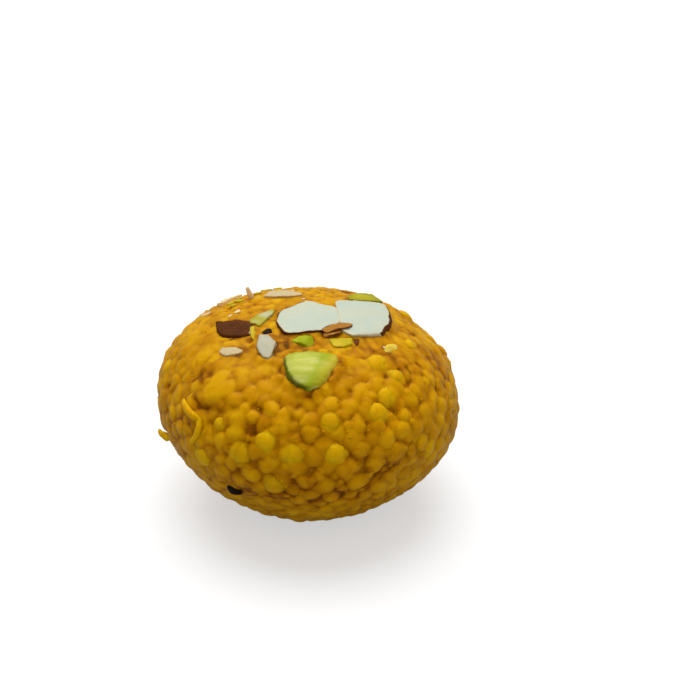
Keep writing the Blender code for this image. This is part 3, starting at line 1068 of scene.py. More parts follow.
bit_points, bit_faces = closed_rings(polar_ways((0.0, 40.0, 80.0, 120.0, 180.0), 8))
open_crumb = np.linalg.norm(crumb_spots - free_spots, axis=1) < 0.01
open_crumb &= crumb_spots[:, 2] > PEARL_BIT_LOWEST
chosen = chance.choice(np.flatnonzero(open_crumb), PEARL_BITS, replace=False)
bit_size = chance.uniform(*PEARL_BIT_SIZES, PEARL_BITS)[:, None]
bit_size = bit_size * chance.uniform(*PEARL_BIT_STRETCH, (PEARL_BITS, 3)) * PEARL_BIT_FLAT
bit_ups = unit(crumb_ways[chosen] + chance.normal(0.0, 0.3, (PEARL_BITS, 3)))
bit_spots, joined = copies(
    bit_points,
    bit_faces,
    turned_frames(bit_ups, chance.uniform(0.0, SPIN_MOST, PEARL_BITS)),
    bit_size,
    crumb_spots[chosen],
)
bit_painted_shade_and_syrup = PEARL_BIT_SHADE_SHARE * np.clip(crumb_painted_shade_and_syrup[chosen], 0.0, 1.0)
bit_mesh = make_piece(
    "pearl_bits",
    bit_spots,
    joined,
    values={
        "shade": np.repeat(chance.uniform(*PEARL_BIT_SHADES, PEARL_BITS), len(bit_points)),
        "hollow": np.repeat(bit_painted_shade_and_syrup, len(bit_points)),
    },
)

# %% [markdown]
# ## Shader helpers
#
# Crumb and nut are patchy and finely rough all over. An image could be painted for that, but a
# pattern worked out from each point's place in mm has no seams, and keeps its size on every piece.
# Nodes are made by one small function, so that a material reads as a list of steps. Two effects are
# shared by several materials and are node groups: "mottle" gives soft patches of two sizes, and
# "fine_grain" gives a height for the Bump node.

# %% Node helpers


def node(tree, kind, inputs=None, **settings):
    """Add a node, set its properties, and set or link its inputs by name or number."""
    made = tree.nodes.new(kind)
    for key, value in settings.items():
        setattr(made, key, value)
    for key, value in (inputs or {}).items():
        socket = made.inputs[key]
        if isinstance(value, bpy.types.NodeSocket):
            tree.links.new(value, socket)
        else:
            socket.default_value = value
    return made


def math_node(tree, operation, *values):
    """The result of one Math node: each value is a number or a socket."""
    return node(tree, "ShaderNodeMath", dict(enumerate(values)), operation=operation).outputs[0]


def span(tree, value, low_in, high_in, low_out, high_out):
    """Map a value from one range to another, held at the ends."""
    ranges = {"From Min": low_in, "From Max": high_in, "To Min": low_out, "To Max": high_out}
    return node(tree, "ShaderNodeMapRange", {"Value": value, **ranges}).outputs["Result"]


def group_tree(name, size, share_name, share, gives):
    """An empty node group that takes a vector, a size in mm and a share, and its end nodes."""
    tree = bpy.data.node_groups.new(name, "ShaderNodeTree")
    tree.interface.new_socket("Vector", in_out="INPUT", socket_type="NodeSocketVector")
    for label, value in (("Size", size), (share_name, share)):
        socket = tree.interface.new_socket(label, in_out="INPUT", socket_type="NodeSocketFloat")
        socket.default_value = value
    tree.interface.new_socket(gives, in_out="OUTPUT", socket_type="NodeSocketFloat")
    return tree, tree.nodes.new("NodeGroupInput").outputs, tree.nodes.new("NodeGroupOutput")


print("node helpers: node, math_node, span, group_tree")

# %% Two shared groups
PITS_FINER = 1.6  # how many times finer the pits are than the lumps


def noise_at(tree, given, pace, detail, fine):
    """The value of a Noise Texture at a number of lumps per mm."""
    inputs = {"Vector": given["Vector"], "Scale": pace, "Detail": detail, "Roughness": fine}
    return node(tree, "ShaderNodeTexNoise", inputs).outputs["Fac"]


def make_mottle():
    """Group: soft patches at a size in mm, with finer ones inside them, from 0 to 1."""
    tree, given, result = group_tree("mottle", 4.0, "Fine", 0.4, "Patches")
    pace = math_node(tree, "DIVIDE", 1.0, given["Size"])
    noise = noise_at(tree, given, pace, 3.0, given["Fine"])
    tree.links.new(span(tree, noise, 0.3, 0.7, 0.0, 1.0), result.inputs["Patches"])
    return tree


def make_fine_grain():
    """Group: a height with soft lumps of one size in mm, and finer pits."""
    tree, given, result = group_tree("fine_grain", 0.5, "Pits", 0.4, "Height")
    pace = math_node(tree, "DIVIDE", 1.0, given["Size"])
    lumps = noise_at(tree, given, pace, 2.0, 0.5)
    quick_pace = math_node(tree, "MULTIPLY", pace, PITS_FINER)
    where = {"Vector": given["Vector"], "Scale": quick_pace}
    cells = node(tree, "ShaderNodeTexVoronoi", where, feature="SMOOTH_F1")
    pits = math_node(tree, "MULTIPLY", cells.outputs["Distance"], given["Pits"])
    tree.links.new(math_node(tree, "ADD", lumps, pits), result.inputs["Height"])
    return tree


mottle = make_mottle()
fine_grain = make_fine_grain()
print("groups:", mottle.name, fine_grain.name)

# %% Material helpers


def new_material(name):
    """A material with a Principled shader, and the piece's Object coordinates in mm."""
    material = bpy.data.materials.new(name)
    material.use_nodes = True
    tree = material.node_tree
    shader = tree.nodes["Principled BSDF"]
    place = node(tree, "ShaderNodeTexCoord")
    scaled = {"Vector": place.outputs["Object"], "Scale": (1.0 / MM, 1.0 / MM, 1.0 / MM)}
    in_mm = node(tree, "ShaderNodeMapping", scaled)
    return material, tree, shader, in_mm.outputs["Vector"]


def patches(tree, spot, size, fine):
    """The mottle group placed in a material with its own size in mm and fineness."""
    inputs = {"Vector": spot, "Size": size, "Fine": fine}
    return node(tree, "ShaderNodeGroup", inputs, node_tree=mottle).outputs[0]


def fine_height(tree, spot, size, pits):
    """The fine_grain group placed in a material with its own size in mm and depth of pits."""
    inputs = {"Vector": spot, "Size": size, "Pits": pits}
    return node(tree, "ShaderNodeGroup", inputs, node_tree=fine_grain).outputs[0]


def set_sockets(shader, values):
    """Set what is the same all over a piece on the shader's own sockets."""
    for key, value in values.items():
        shader.inputs[key].default_value = value


def attribute(tree, name):
    """The number that a mesh carries under this name."""
    made = node(tree, "ShaderNodeAttribute", attribute_name=name, attribute_type="GEOMETRY")
    return made.outputs["Fac"]


def blend(tree, factor, first, second):
    """Mix two colours by a factor: each is a socket or red, green and blue."""
    made = node(tree, "ShaderNodeMix", data_type="RGBA", clamp_factor=True)
    for slot_name, value in (("Factor_Float", factor), ("A_Color", first), ("B_Color", second)):
        socket = next(item for item in made.inputs if item.identifier == slot_name)
        if isinstance(value, bpy.types.NodeSocket):
            tree.links.new(value, socket)
        else:
            socket.default_value = value if isinstance(value, float) else (*value, 1.0)
    return next(item for item in made.outputs if item.identifier == "Result_Color")


def bumped(tree, shader, height, distance):
    """Feed a height, of which 1 is the distance in mm, through a Bump node to the normal."""
    bump = node(tree, "ShaderNodeBump", {"Height": height, "Distance": distance * MM})
    tree.links.new(bump.outputs["Normal"], shader.inputs["Normal"])


print("material helpers: new_material, patches, fine_height, set_sockets, blend, bumped")


# %% [markdown]
# ## The golden crumb's finish
#
# Syrup-soaked batter is a deep golden yellow that lets a little light in, so its shadows glow
# orange instead of turning grey. Each pearl took the saffron and the frying a little differently,
# which is its shade. The valleys between hold syrup and are darker and redder. The colour also
# darkens with depth, in the creases, under the fold's lip, towards each pearl's covered edge and
# round the chips: painted shade. A thin, uneven film of ghee gives the soft gloss.

# %% Finish of the sweet
# Colours from the darkest, for painted shade and syrup in the hollows, up to the palest pearls,
# and where each lies on the scale.
GOLDS = (
    (0.0, (0.12, 0.044, 0.0005)),
    (0.12, (0.25, 0.078, 0.0005)),
    (0.3, (0.44, 0.178, 0.001)),
    (0.6, (0.61, 0.292, 0.0015)),
    (1.0, (0.76, 0.435, 0.003)),
)
SAFFRON = (0.56, 0.19, 0.001)  # where more of the syrup's colour sank in


def ramp(tree, value, stops):
    """A colour scale: each stop is a place from 0 to 1 and a colour."""
    made = node(tree, "ShaderNodeValToRGB", {"Fac": value})
    scale = made.color_ramp
    while len(scale.elements) < len(stops):
        scale.elements.new(0.5)
    for element, (place, colour) in zip(scale.elements, stops):
        element.position = place
        element.color = (*colour, 1.0)
    return made.outputs["Color"]


def add_up(tree, first, *scaled):
    """The first value plus each other value times its factor."""
    total = first
    for value, factor in scaled:
        total = math_node(tree, "MULTIPLY_ADD", value, factor, total)
    return total


def finish_sweet(name, seep):
    """Golden crumb: shade, patches and painted shade of hollows choose a colour on the golds."""
    material, tree, shader, spot = new_material(name)
    broad = patches(tree, spot, 6.0, 0.45)
    specks = patches(tree, spot, 0.9, 0.6)
    # The hollow attribute is mostly painted shade; the rest is syrup in the joints and stains.
    depth = span(tree, attribute(tree, "hollow"), 0.15, 1.0, 0.0, 1.0)
    shade = attribute(tree, "shade")
    tone = add_up(tree, shade, (broad, 0.26), (specks, 0.06), (depth, -0.50))
    blush = span(tree, patches(tree, spot, 2.6, 0.6), 0.5, 1.0, 0.0, 0.3)
    colour = blend(tree, blush, ramp(tree, tone, GOLDS), SAFFRON)
    tree.links.new(colour, shader.inputs["Base Color"])
    tree.links.new(span(tree, specks, 0.0, 1.0, 0.34, 0.52), shader.inputs["Roughness"])
    set_sockets(
        shader,
        {
            "Subsurface Weight": seep,
            "Subsurface Radius": (1.0, 0.55, 0.08),
            "Subsurface Scale": 2.0 * MM,
            "IOR": 1.36,
            "Specular IOR Level": 0.12,
            "Specular Tint": (1.0, 0.75, 0.2, 1.0),
        },
    )
    bumped(tree, shader, fine_height(tree, spot, 0.45, 0.5), 0.03)
    return material


golden_crumb = finish_sweet("golden_crumb", 0.5)
golden_bits = finish_sweet("golden_bits", 0.0)  # the bits are too small for light to seep through
for piece in (crumb, bead_mesh):
    piece.data.materials.append(golden_crumb)
bit_mesh.data.materials.append(golden_bits)
print("finished:", golden_crumb.name, golden_bits.name)

# %% [markdown]
# ## Chips of nut
#
# The nuts were slivered with a knife, so each is a slab with straight cut sides and slightly
# rounded corners. Its formula pushes every direction out until it meets a side: a p-norm of the
# distances to all sides rounds the corners a little, and the top and the underside count as two
# more sides. A side may lean, which makes the sloping edge where the nut's skin is left on. A cube
# with bevelled edges would do for the slab, but not for edges that lean and round each their own
# way. Each chip stands at its solid's place and carries five values for its finish.

# %% Shape of a chip
CHIP_AROUND = 120
CHIP_DOWNS = np.linspace(0.0, 180.0, 41)
CHIP_POWER = 24.0  # unless a chip's own "soft" says a lower power, for rounder edges
RIM_FROM = 0.9  # how near its sides, as a share of the way out, a point counts as rim
RIDGE_WIDTH = 0.45  # mm to each side of the ridge where the ripe end begins
RIPE_RATE = 0.5  # how much riper the flesh is with each mm beyond the ridge
NOWHERE = 99.0  # mm, farther out than any chip reaches


def beyond_line(spots, turn, start):
    """How far each point lies beyond a line across the chip: x cos(turn) + y sin(turn) - start."""
    turn = math.radians(turn)
    return spots[:, :2] @ [math.cos(turn), math.sin(turn)] - start


def chip_rings(chip):
    """Rings of a soft-edged slab, and five values from 0 to 1 for its material.

    nearness = sum over the sides of (way . (cos, sin, run / middle) / distance)^p, plus
    |height / middle|^p for the two faces; a point lies at way * nearness^(-1/p). The values say how
    near each point is to skin, to the rim, to the palest middle, to the ripe end and to its ridge.
    """
    ways = polar_ways(CHIP_DOWNS, CHIP_AROUND)
    flat = ways.reshape(-1, 3)
    on_top = flat[:, 2] > 0.0
    sides = [(*side, 0.0, 0.0)[:4] for side in chip["sides"]]
    turns, reach, runs, skins = (np.array(column, dtype=float) for column in zip(*sides))
    middle = reach.mean()
    normals = np.stack([np.cos(np.radians(turns)), np.sin(np.radians(turns)), runs / middle])
    power = chip.get("soft", CHIP_POWER)
    facing = np.clip(flat @ normals / reach, 0.0, None) ** power
    cover = np.abs(flat[:, 2] / middle) ** power
    total = facing.sum(axis=1) + cover
    spots = flat * (total ** (-1.0 / power))[:, None]
    skin = (facing @ skins + cover * chip.get("top_skin", 0.0) * on_top) / total
    sideways = facing.max(axis=1) ** (1.0 / power)
    upward = np.maximum(cover ** (1.0 / power), sideways)
    rim = np.clip((sideways / upward - RIM_FROM) / (1.0 - RIM_FROM), 0.0, 1.0)
    spots[:, 2] *= 0.5 * chip["thick"] / middle
    away = (spots[:, :2] ** 2).sum(axis=1) / middle**2
    spots[:, 2] += chip["arch"] * (0.5 - np.clip(away, 0.0, 1.0))
    turn, start, slope = chip.get("bevel", (0.0, NOWHERE, 0.0))
    spots[:, 2] -= slope * np.clip(beyond_line(spots, turn, start), 0.0, None) * on_top
    away = ((spots[:, :2] - chip.get("heart", (0.0, 0.0))) ** 2).sum(axis=1) / middle**2
    past = beyond_line(spots, *chip.get("ripe", (0.0, NOWHERE)))
    values = {
        "skin": skin,
        "rim": rim,
        "middle": 1.0 - np.clip(away, 0.0, 1.0),
        "ripe": np.clip(RIPE_RATE * past, 0.0, 1.0),
        "ridge": np.exp(-((past / RIDGE_WIDTH) ** 2)),
    }
    return spots.reshape(ways.shape), values


print(f"a chip's rings: {len(CHIP_DOWNS)} of {CHIP_AROUND} points")

# %% Making a chip
CHIP_WAVES = ((0.09, 2.4), (0.05, 0.8))  # mm and pitch by which the cut sides waver
CHIP_ROUGH = ((0.06, 3.2), (0.02, 0.9))  # mm and pitch by which the faces are uneven


def two_ripples(points, waves, seed):
    """The sum of two ripples: each height times the ripple of its pitch."""
    (high, pitch), (low, fine) = waves
    return high * ripple(points, pitch, seed) + low * ripple(points, fine, seed + 1)


def make_chip(name, chip, material):
    """One nut chip, roughened, laid down about the middle of its solid's box.

    The sides move outwards by wave * rim, and the faces move up or down by rough * (1 - rim).
    """
    rings, values = chip_rings(chip)
    points, faces = closed_rings(rings)
    # closed_rings makes one point of the first ring and one of the last, so the values follow.
    last = rings.shape[0] * CHIP_AROUND - 1
    keep = np.concatenate([[0], np.arange(CHIP_AROUND, last + 1 - CHIP_AROUND), [last]])
    values = {key: value[keep] for key, value in values.items()}
    rim = values["rim"]
    seed = sum(map(ord, name))
    outward = unit(points * [1.0, 1.0, 0.0] + [1e-6, 0.0, 0.0])
    points = points + (two_ripples(points, CHIP_WAVES, seed) * rim)[:, None] * outward
    lift = two_ripples(points, CHIP_ROUGH, seed + 2) * np.sign(points[:, 2]) * (1.0 - rim)
    points = points + lift[:, None] * [0.0, 0.0, 1.0]
    laid = points @ chip_frame(chip) + chip_middle(name, chip)
    piece = make_piece(
        name + "_cut", laid, faces, replaces=(name,), values=values
    )
    piece.data.materials.append(material)
    return piece


print("sides waver by", CHIP_WAVES[0][0], "mm")

# %% [markdown]
# ## Nut finishes
#
# Cut almond is creamy white and a little waxy, with faint fibres, and its skin is a dull brown with
# fine wrinkles that run along the nut. Cut pistachio is pale yellow-green in the middle and greener
# towards the skin. One function makes each family, with its own colours.

# %% Finish of almond
ALMOND_WHITE = (0.505, 0.575, 0.475)
ALMOND_CREAM = (0.70, 0.61, 0.38)
SKIN_BROWN = (0.150, 0.040, 0.006)
SKIN_DARK = (0.030, 0.010, 0.004)
SKIN_FRAY = 0.12  # how unevenly an almond's skin ends


def finish_almond(name, white, cream, skin=SKIN_BROWN, rind=SKIN_DARK):
    """Cut almond: pale flesh with faint cream fibres, and brown wrinkled skin where it is left."""
    material, tree, shader, spot = new_material(name)
    clouds = patches(tree, spot, 3.0, 0.5)
    flesh = blend(tree, span(tree, clouds, 0.2, 1.0, 0.0, 0.35), white, cream)
    rim = attribute(tree, "rim")
    flesh = blend(tree, span(tree, rim, 0.2, 1.0, 0.0, 0.75), flesh, cream)
    waves = {"Vector": spot, "Scale": 0.9, "Distortion": 9.0, "Detail": 4.0, "Detail Scale": 0.8}
    streaks = node(
        tree, "ShaderNodeTexWave", waves, wave_type="BANDS", bands_direction="DIAGONAL"
    ).outputs["Fac"]
    dim = add_up(tree, span(tree, streaks, 0.2, 1.0, 0.0, 0.35), (clouds, 0.4))
    brown = blend(tree, dim, skin, rind)
    fray = span(tree, clouds, 0.0, 1.0, -1.0, 1.0)
    cover = add_up(tree, attribute(tree, "skin"), (fray, SKIN_FRAY))
    cover = span(tree, cover, 0.42, 0.58, 0.0, 1.0)
    tree.links.new(blend(tree, cover, flesh, brown), shader.inputs["Base Color"])
    tree.links.new(span(tree, cover, 0.0, 1.0, 0.45, 0.60), shader.inputs["Roughness"])
    set_sockets(
        shader,
        {
            "Subsurface Weight": 0.15,
            "Subsurface Radius": (1.0, 0.8, 0.5),
            "Subsurface Scale": 0.6 * MM,
            "IOR": 1.46,
            "Specular IOR Level": 0.1,
            "Specular Tint": (1.0, 0.85, 0.6, 1.0),
        },
    )
    wrinkles = math_node(tree, "MULTIPLY", streaks, cover)
    height = add_up(tree, fine_height(tree, spot, 0.5, 0.3), (wrinkles, 0.9))
    bumped(tree, shader, height, 0.07)
    return material


almond_flesh = finish_almond("almond_flesh", ALMOND_WHITE, ALMOND_CREAM)
almond_ivory = finish_almond("almond_ivory", (0.49, 0.48, 0.36), (0.48, 0.36, 0.20))
almond_warm = finish_almond("almond_warm", (0.59, 0.48, 0.27), (0.64, 0.44, 0.18))
print("finished:", almond_flesh.name, almond_ivory.name, almond_warm.name)

# %% Finish of pistachio
RIND_GREEN = (0.10, 0.115, 0.004)  # dark green just under the skin
RIDGE_GREEN = (0.36, 0.45, 0.015)  # the line where the ripe end begins
RIPE_YELLOW = (0.66, 0.50, 0.03)
STREAK_TURN = 0.6  # radians from +X at which streaks run across a pistachio
STREAK_STRETCH = 0.25  # their width against their length
RIND_FRAY = 0.2  # how unevenly a pistachio's rind ends


def finish_pistachio(name, heart, edge, pale=None):
    """Cut pistachio: the heart colour in the middle, the edge colour near the rim, and the rind.

    Streaks of the pale colour and of the edge colour run through the flesh.
    """
    material, tree, shader, spot = new_material(name)
    pale = pale or heart
    clouds = patches(tree, spot, 2.2, 0.5)
    turned = {
        "Vector": spot,
        "Rotation": (0.0, 0.0, STREAK_TURN),
        "Scale": (STREAK_STRETCH, 1.0, 1.0),
    }
    along = node(tree, "ShaderNodeMapping", turned).outputs["Vector"]
    streaks = patches(tree, along, 1.1, 0.4)
    green = heart
    # Each row: the value that places a colour, the two ends of its range, and the share at each.
    for value, low_in, high_in, low_out, high_out, colour in (
        (attribute(tree, "middle"), 0.05, 0.8, 1.0, 0.0, edge),
        (attribute(tree, "rim"), 0.3, 1.0, 0.0, 0.7, edge),
        (clouds, 0.3, 1.0, 0.0, 0.3, edge),
        (streaks, 0.45, 1.0, 0.0, 0.5, pale),
        (streaks, 0.5, 0.0, 0.0, 0.35, edge),
        (attribute(tree, "ridge"), 0.0, 1.0, 0.0, 0.6, RIDGE_GREEN),
        (attribute(tree, "ripe"), 0.0, 1.0, 0.0, 0.8, RIPE_YELLOW),
    ):
        green = blend(tree, span(tree, value, low_in, high_in, low_out, high_out), green, colour)
    fray = span(tree, clouds, 0.0, 1.0, -1.0, 1.0)
    cover = add_up(tree, attribute(tree, "skin"), (fray, RIND_FRAY))
    colour = blend(tree, span(tree, cover, 0.3, 0.7, 0.0, 0.9), green, RIND_GREEN)
    tree.links.new(colour, shader.inputs["Base Color"])
    tree.links.new(span(tree, clouds, 0.0, 1.0, 0.38, 0.55), shader.inputs["Roughness"])
    set_sockets(
        shader,
        {
            "Subsurface Weight": 0.2,
            "Subsurface Radius": (0.8, 1.0, 0.3),
            "Subsurface Scale": 0.6 * MM,
            "IOR": 1.46,
            "Specular IOR Level": 0.12,
            "Specular Tint": (0.9, 1.0, 0.5, 1.0),
        },
    )
    bumped(tree, shader, fine_height(tree, spot, 0.45, 0.4), 0.07)
    return material


# Each finish: the heart's colour, the edge's, and where wanted that of the pale streaks.
PISTACHIOS = {
    "pistachio_green": ((0.56, 0.57, 0.10), (0.31, 0.36, 0.006), (0.68, 0.65, 0.23)),
    "pistachio_vivid": ((0.40, 0.44, 0.003), (0.29, 0.33, 0.002), (0.50, 0.50, 0.03)),
    "pistachio_pale": ((0.52, 0.50, 0.28), (0.42, 0.38, 0.03)),
    "pistachio_yellow": ((0.64, 0.46, 0.022), (0.52, 0.40, 0.008)),
    "pistachio_olive": ((0.48, 0.40, 0.015), (0.34, 0.30, 0.005)),
    "pistachio_cream": ((0.85, 0.66, 0.12), (0.76, 0.54, 0.04)),
}
pistachio = {name: finish_pistachio(name, *colours) for name, colours in PISTACHIOS.items()}
print("finished:", *pistachio)

# %% Lay the eleven chips
CHIP_FINISHES = {
    "almond_slice_left": almond_flesh,
    "almond_slice_right": almond_flesh,
    "pistachio_chunk": pistachio["pistachio_green"],
    "pistachio_small": pistachio["pistachio_vivid"],
    "almond_brown": almond_ivory,
    "pistachio_pale_slice": pistachio["pistachio_pale"],
    "almond_chunk": almond_ivory,
    "almond_flake": almond_warm,
    "pistachio_flake": pistachio["pistachio_yellow"],
    "almond_slice_rear": almond_warm,
    "pistachio_slice_rear": pistachio["pistachio_olive"],
}
for name, chip in CHIPS.items():
    make_chip(name, chip, CHIP_FINISHES[name])

# %% [markdown]
# ## Scraps, strands and crumbs
#
# Between the large chips lies what the knife leaves: crumbs of almond and pistachio, and scraps of
# brown skin. A crumb is the slab again, with few faces and flat shading, because it broke and
# wasn't cut. Five different ones are made once, and copies of them share a mesh. Those of the front
# and the crown have places of their own, and a few more are strewn over the back.

# %% Placing things on the round
SLOPE_STEP = 0.5  # degrees between the points that tell the slope of the outline


def surface_point(azimuth, elevation, lift=0.0):
    """A point at a lift over the pressed outline, and the round's own upward direction there."""
    aside, above = azimuth + SLOPE_STEP, elevation + SLOPE_STEP
    near = [(azimuth, elevation), (aside, elevation), (azimuth, above)]
    ways = np.array([heading(*place) for place in near])
    spots = ways * round_radius(ways)[:, None]
    up = unit(np.cross(spots[1] - spots[0], spots[2] - spots[0]))
    here = ways[0] * pressed_radius(ways[:1])[0]
    return here + lift * up, up


FRONT_RIGHT = np.array([1.0, 0.0, 0.0])  # right and up for someone who looks down at the front
FRONT_UP = np.array([0.0, 0.5, 0.866])


def lying_frame(up, spin):
    """Axes of a thing on the surface, whose length is right * cos(spin) + up * sin(spin)."""
    along = math.cos(math.radians(spin)) * FRONT_RIGHT + math.sin(math.radians(spin)) * FRONT_UP
    along = unit(along - (along @ up) * up)
    return np.stack([along, np.cross(up, along), up])


print("middle of the front's shoulder, in mm:", surface_point(-90, 30)[0].round(1))

# %% Crumbs of nut and skin
NUT_BIT_AROUND = 10
NUT_BIT_DOWNS = (0.0, 30.0, 52.0, 90.0, 128.0, 150.0, 180.0)
NUT_BIT_SHAPES = 5
NUT_BIT_SIDES = 5
NUT_BIT_SKEW = 20.0  # degrees by which a side's direction is off the even one
NUT_BIT_REACH = (0.38, 0.52)
NUT_BIT_RUNS = (-0.15, 0.25)  # how far a side leans outwards at the top
NUT_BIT_POWER = 9
NUT_BIT_TILT = 0.12  # how far a crumb tips from the surface
NUT_BIT_SINK = 0.1  # mm by which each crumb is pressed in


def nut_bit_shapes():
    """Small slabs with uneven sides, each as points of about one mm across, and shared faces."""
    draw = np.random.default_rng(5)
    ways = polar_ways(NUT_BIT_DOWNS, NUT_BIT_AROUND)
    even = np.arange(NUT_BIT_SIDES) * (360.0 / NUT_BIT_SIDES)
    shapes = []
    for _ in range(NUT_BIT_SHAPES):
        turns = np.radians(even + draw.uniform(-NUT_BIT_SKEW, NUT_BIT_SKEW, NUT_BIT_SIDES))
        reach = draw.uniform(*NUT_BIT_REACH, NUT_BIT_SIDES)
        runs = draw.uniform(*NUT_BIT_RUNS, NUT_BIT_SIDES)
        normals = np.stack([np.cos(turns), np.sin(turns), -runs])
        near = (np.clip(ways @ normals / reach, 0.0, None) ** NUT_BIT_POWER).sum(axis=-1)
        near = near + np.abs(ways[..., 2] / 0.5) ** NUT_BIT_POWER
        points, faces = closed_rings(ways * near[..., None] ** (-1.0 / NUT_BIT_POWER))
        shapes.append(points)
    return shapes, faces


NUT_BITS, NUT_BIT_FACES = nut_bit_shapes()


def lay_bits(name, bits, material, seed):
    """Crumbs as one mesh. Each is azimuth, elevation, lift, length, width, thickness and spin."""
    draw = np.random.default_rng(seed)
    made = []
    for azimuth, elevation, lift, length, width, thick, spin in bits:
        place, up = surface_point(azimuth, elevation, lift - NUT_BIT_SINK)
        up = unit(up + draw.normal(0.0, NUT_BIT_TILT, 3))
        shape = NUT_BITS[draw.integers(NUT_BIT_SHAPES)] * [length, width, thick]
        made.append(shape @ lying_frame(up, spin) + place)
    points = np.concatenate(made)
    steps = np.arange(len(bits))[:, None, None] * len(NUT_BITS[0])
    faces = [(group[None] + steps).reshape(-1, group.shape[1]) for group in NUT_BIT_FACES]
    plain = np.zeros(len(points))
    values = {"skin": plain, "rim": plain + 0.3, "middle": plain + 0.5}
    piece = make_piece(name, points, faces, values=values, smooth=False)
    piece.data.materials.append(material)
    return piece


def strew(count, azimuths, elevations, sizes, seed):
    """Random crumbs in a window of azimuth and elevation, with their lengths between two sizes."""
    draw = np.random.default_rng(seed)
    length = draw.uniform(*sizes, count)
    rows = [
        draw.uniform(*azimuths, count),
        draw.uniform(*elevations, count),
        draw.uniform(-0.1, 0.1, count),
        length,
        length * draw.uniform(0.5, 0.9, count),
        length * draw.uniform(0.35, 0.55, count),
        draw.uniform(0.0, 180.0, count),
    ]
    return [tuple(row) for row in np.transpose(rows)]


print(f"{len(NUT_BITS)} crumb shapes of {len(NUT_BITS[0])} points")

# %% Lay the crumbs
# Each: azimuth and elevation, lift, length, width and thickness in mm, and spin in degrees.
ALMOND_BITS = [
    (143, 34, 0.2, 1.8, 0.9, 0.8, 28),
    (139.5, 33.5, 0.2, 1.7, 1.0, 0.9, 30),
    (135, 32.5, 0.2, 2.2, 1.0, 0.9, 25),
    (130, 31.5, 0.2, 1.5, 0.8, 0.8, 20),
    (157, 33, 0.15, 1.9, 0.8, 0.4, 0),
    (160, 49, 0.05, 1.3, 0.9, 0.5, 10),
    (166, 47, 0.05, 0.9, 0.7, 0.4, 60),
    (104, 49, 0.1, 1.3, 0.8, 0.5, -30),
    (101, 57, 0.1, 1.1, 0.8, 0.5, 40),
    (96, 62, 0.05, 0.9, 0.7, 0.4, 0),
    (-25, 44, 0.0, 0.8, 0.5, 0.3, 0),
]
GREEN_BITS = [
    (146, 40, 0.1, 1.5, 1.1, 0.7, 20),
    (150, 43, 0.1, 1.2, 1.0, 0.6, 80),
    (141, 42, 0.1, 1.6, 1.1, 0.6, -20),
    (137, 39, 0.1, 1.3, 1.0, 0.6, 50),
    (114, 34, 0.05, 1.9, 0.9, 0.6, 5),
    (108, 34.5, 0.05, 1.5, 0.8, 0.6, -10),
    (124, 40, 0.15, 1.3, 0.9, 0.5, 30),
    (-176, 61, 0.1, 2.0, 1.1, 0.5, 60),
]
SKIN_BITS = [
    (-160, 47.5, 0.0, 0.9, 0.6, 0.4, 0),
    (-37, 55.5, 0.0, 2.1, 0.9, 0.6, 85),
]
BACK_WINDOW = ((25.0, 155.0), (8.0, 31.0))  # azimuths and elevations of the back's shoulder
skin_brown = finish_almond("scrap_brown", (0.14, 0.036, 0.002), (0.060, 0.015, 0.001))
# Paler and warmer than cut almond, so that crumbs and the splinter whose faces lie in shade still
# read bright: painted light.
almond_peach_painted_light = finish_almond("almond_peach_painted_light", (0.90, 0.70, 0.38), (0.86, 0.58, 0.24))
ALMOND_BITS += strew(9, *BACK_WINDOW, (0.7, 1.7), 31)
GREEN_BITS += strew(7, *BACK_WINDOW, (0.7, 1.8), 32)
SKIN_BITS += strew(4, *BACK_WINDOW, (0.9, 2.0), 33)
lay_bits("almond_crumbs", ALMOND_BITS, almond_peach_painted_light, 1)
lay_bits("pistachio_crumbs", GREEN_BITS, pistachio["pistachio_yellow"], 2)
lay_bits("skin_scraps", SKIN_BITS, skin_brown, 3)

# %% [markdown]
# ## Threads, splinters and curled scraps
#
# A curled scrap of skin lies in two folds on the almond slices, a thin splinter of almond stands up
# behind them, and two lengths of fried batter cling to the left side. Each is one flat oval carried
# along a short curve. The oval shrinks to a point at both ends, as a torn thread does.

# %% A flat oval along a curve
RIBBON_AROUND = 14
RIBBON_RINGS = 22
RIBBON_ROUGH = 0.06  # mm by which a ribbon is uneven


def ribbon(start, through, end, width, thick, curl=0.0, fullness=0.5, up=(0.0, 0.0, 1.0)):
    """A flat oval carried along a curve through three points, as closed points and faces.

    The spine is (1 - u)^2 start + 2 u (1 - u) pull + u^2 end. The oval's half width swells as
    sin(pi u)^fullness, and a curl lifts its two edges by curl * (how far aside they are)^2.
    """
    start, through, end, up = (np.array(place, dtype=float) for place in (start, through, end, up))
    u = np.linspace(0.0, 1.0, RIBBON_RINGS)[:, None]
    pull = 2.0 * through - 0.5 * (start + end)
    spine = (1 - u) ** 2 * start + 2 * u * (1 - u) * pull + u**2 * end
    ahead = unit(np.gradient(spine, axis=0))
    aside = unit(np.cross(up, ahead))
    above = np.cross(ahead, aside)
    swell = np.clip(np.sin(np.pi * u), 0.0, 1.0) ** fullness
    turn = np.linspace(0.0, 2.0 * np.pi, RIBBON_AROUND, endpoint=False)[None, :]
    across = 0.5 * width * swell * np.cos(turn)
    rise = 0.5 * thick * swell * np.sin(turn) + curl * (np.cos(turn) * swell) ** 2
    rings = spine[:, None] + across[..., None] * aside[:, None] + rise[..., None] * above[:, None]
    points, faces = closed_rings(rings)
    edge = np.concatenate([[1.0], np.tile(np.abs(np.cos(turn[0])), RIBBON_RINGS - 2), [1.0]])
    return points, faces, edge


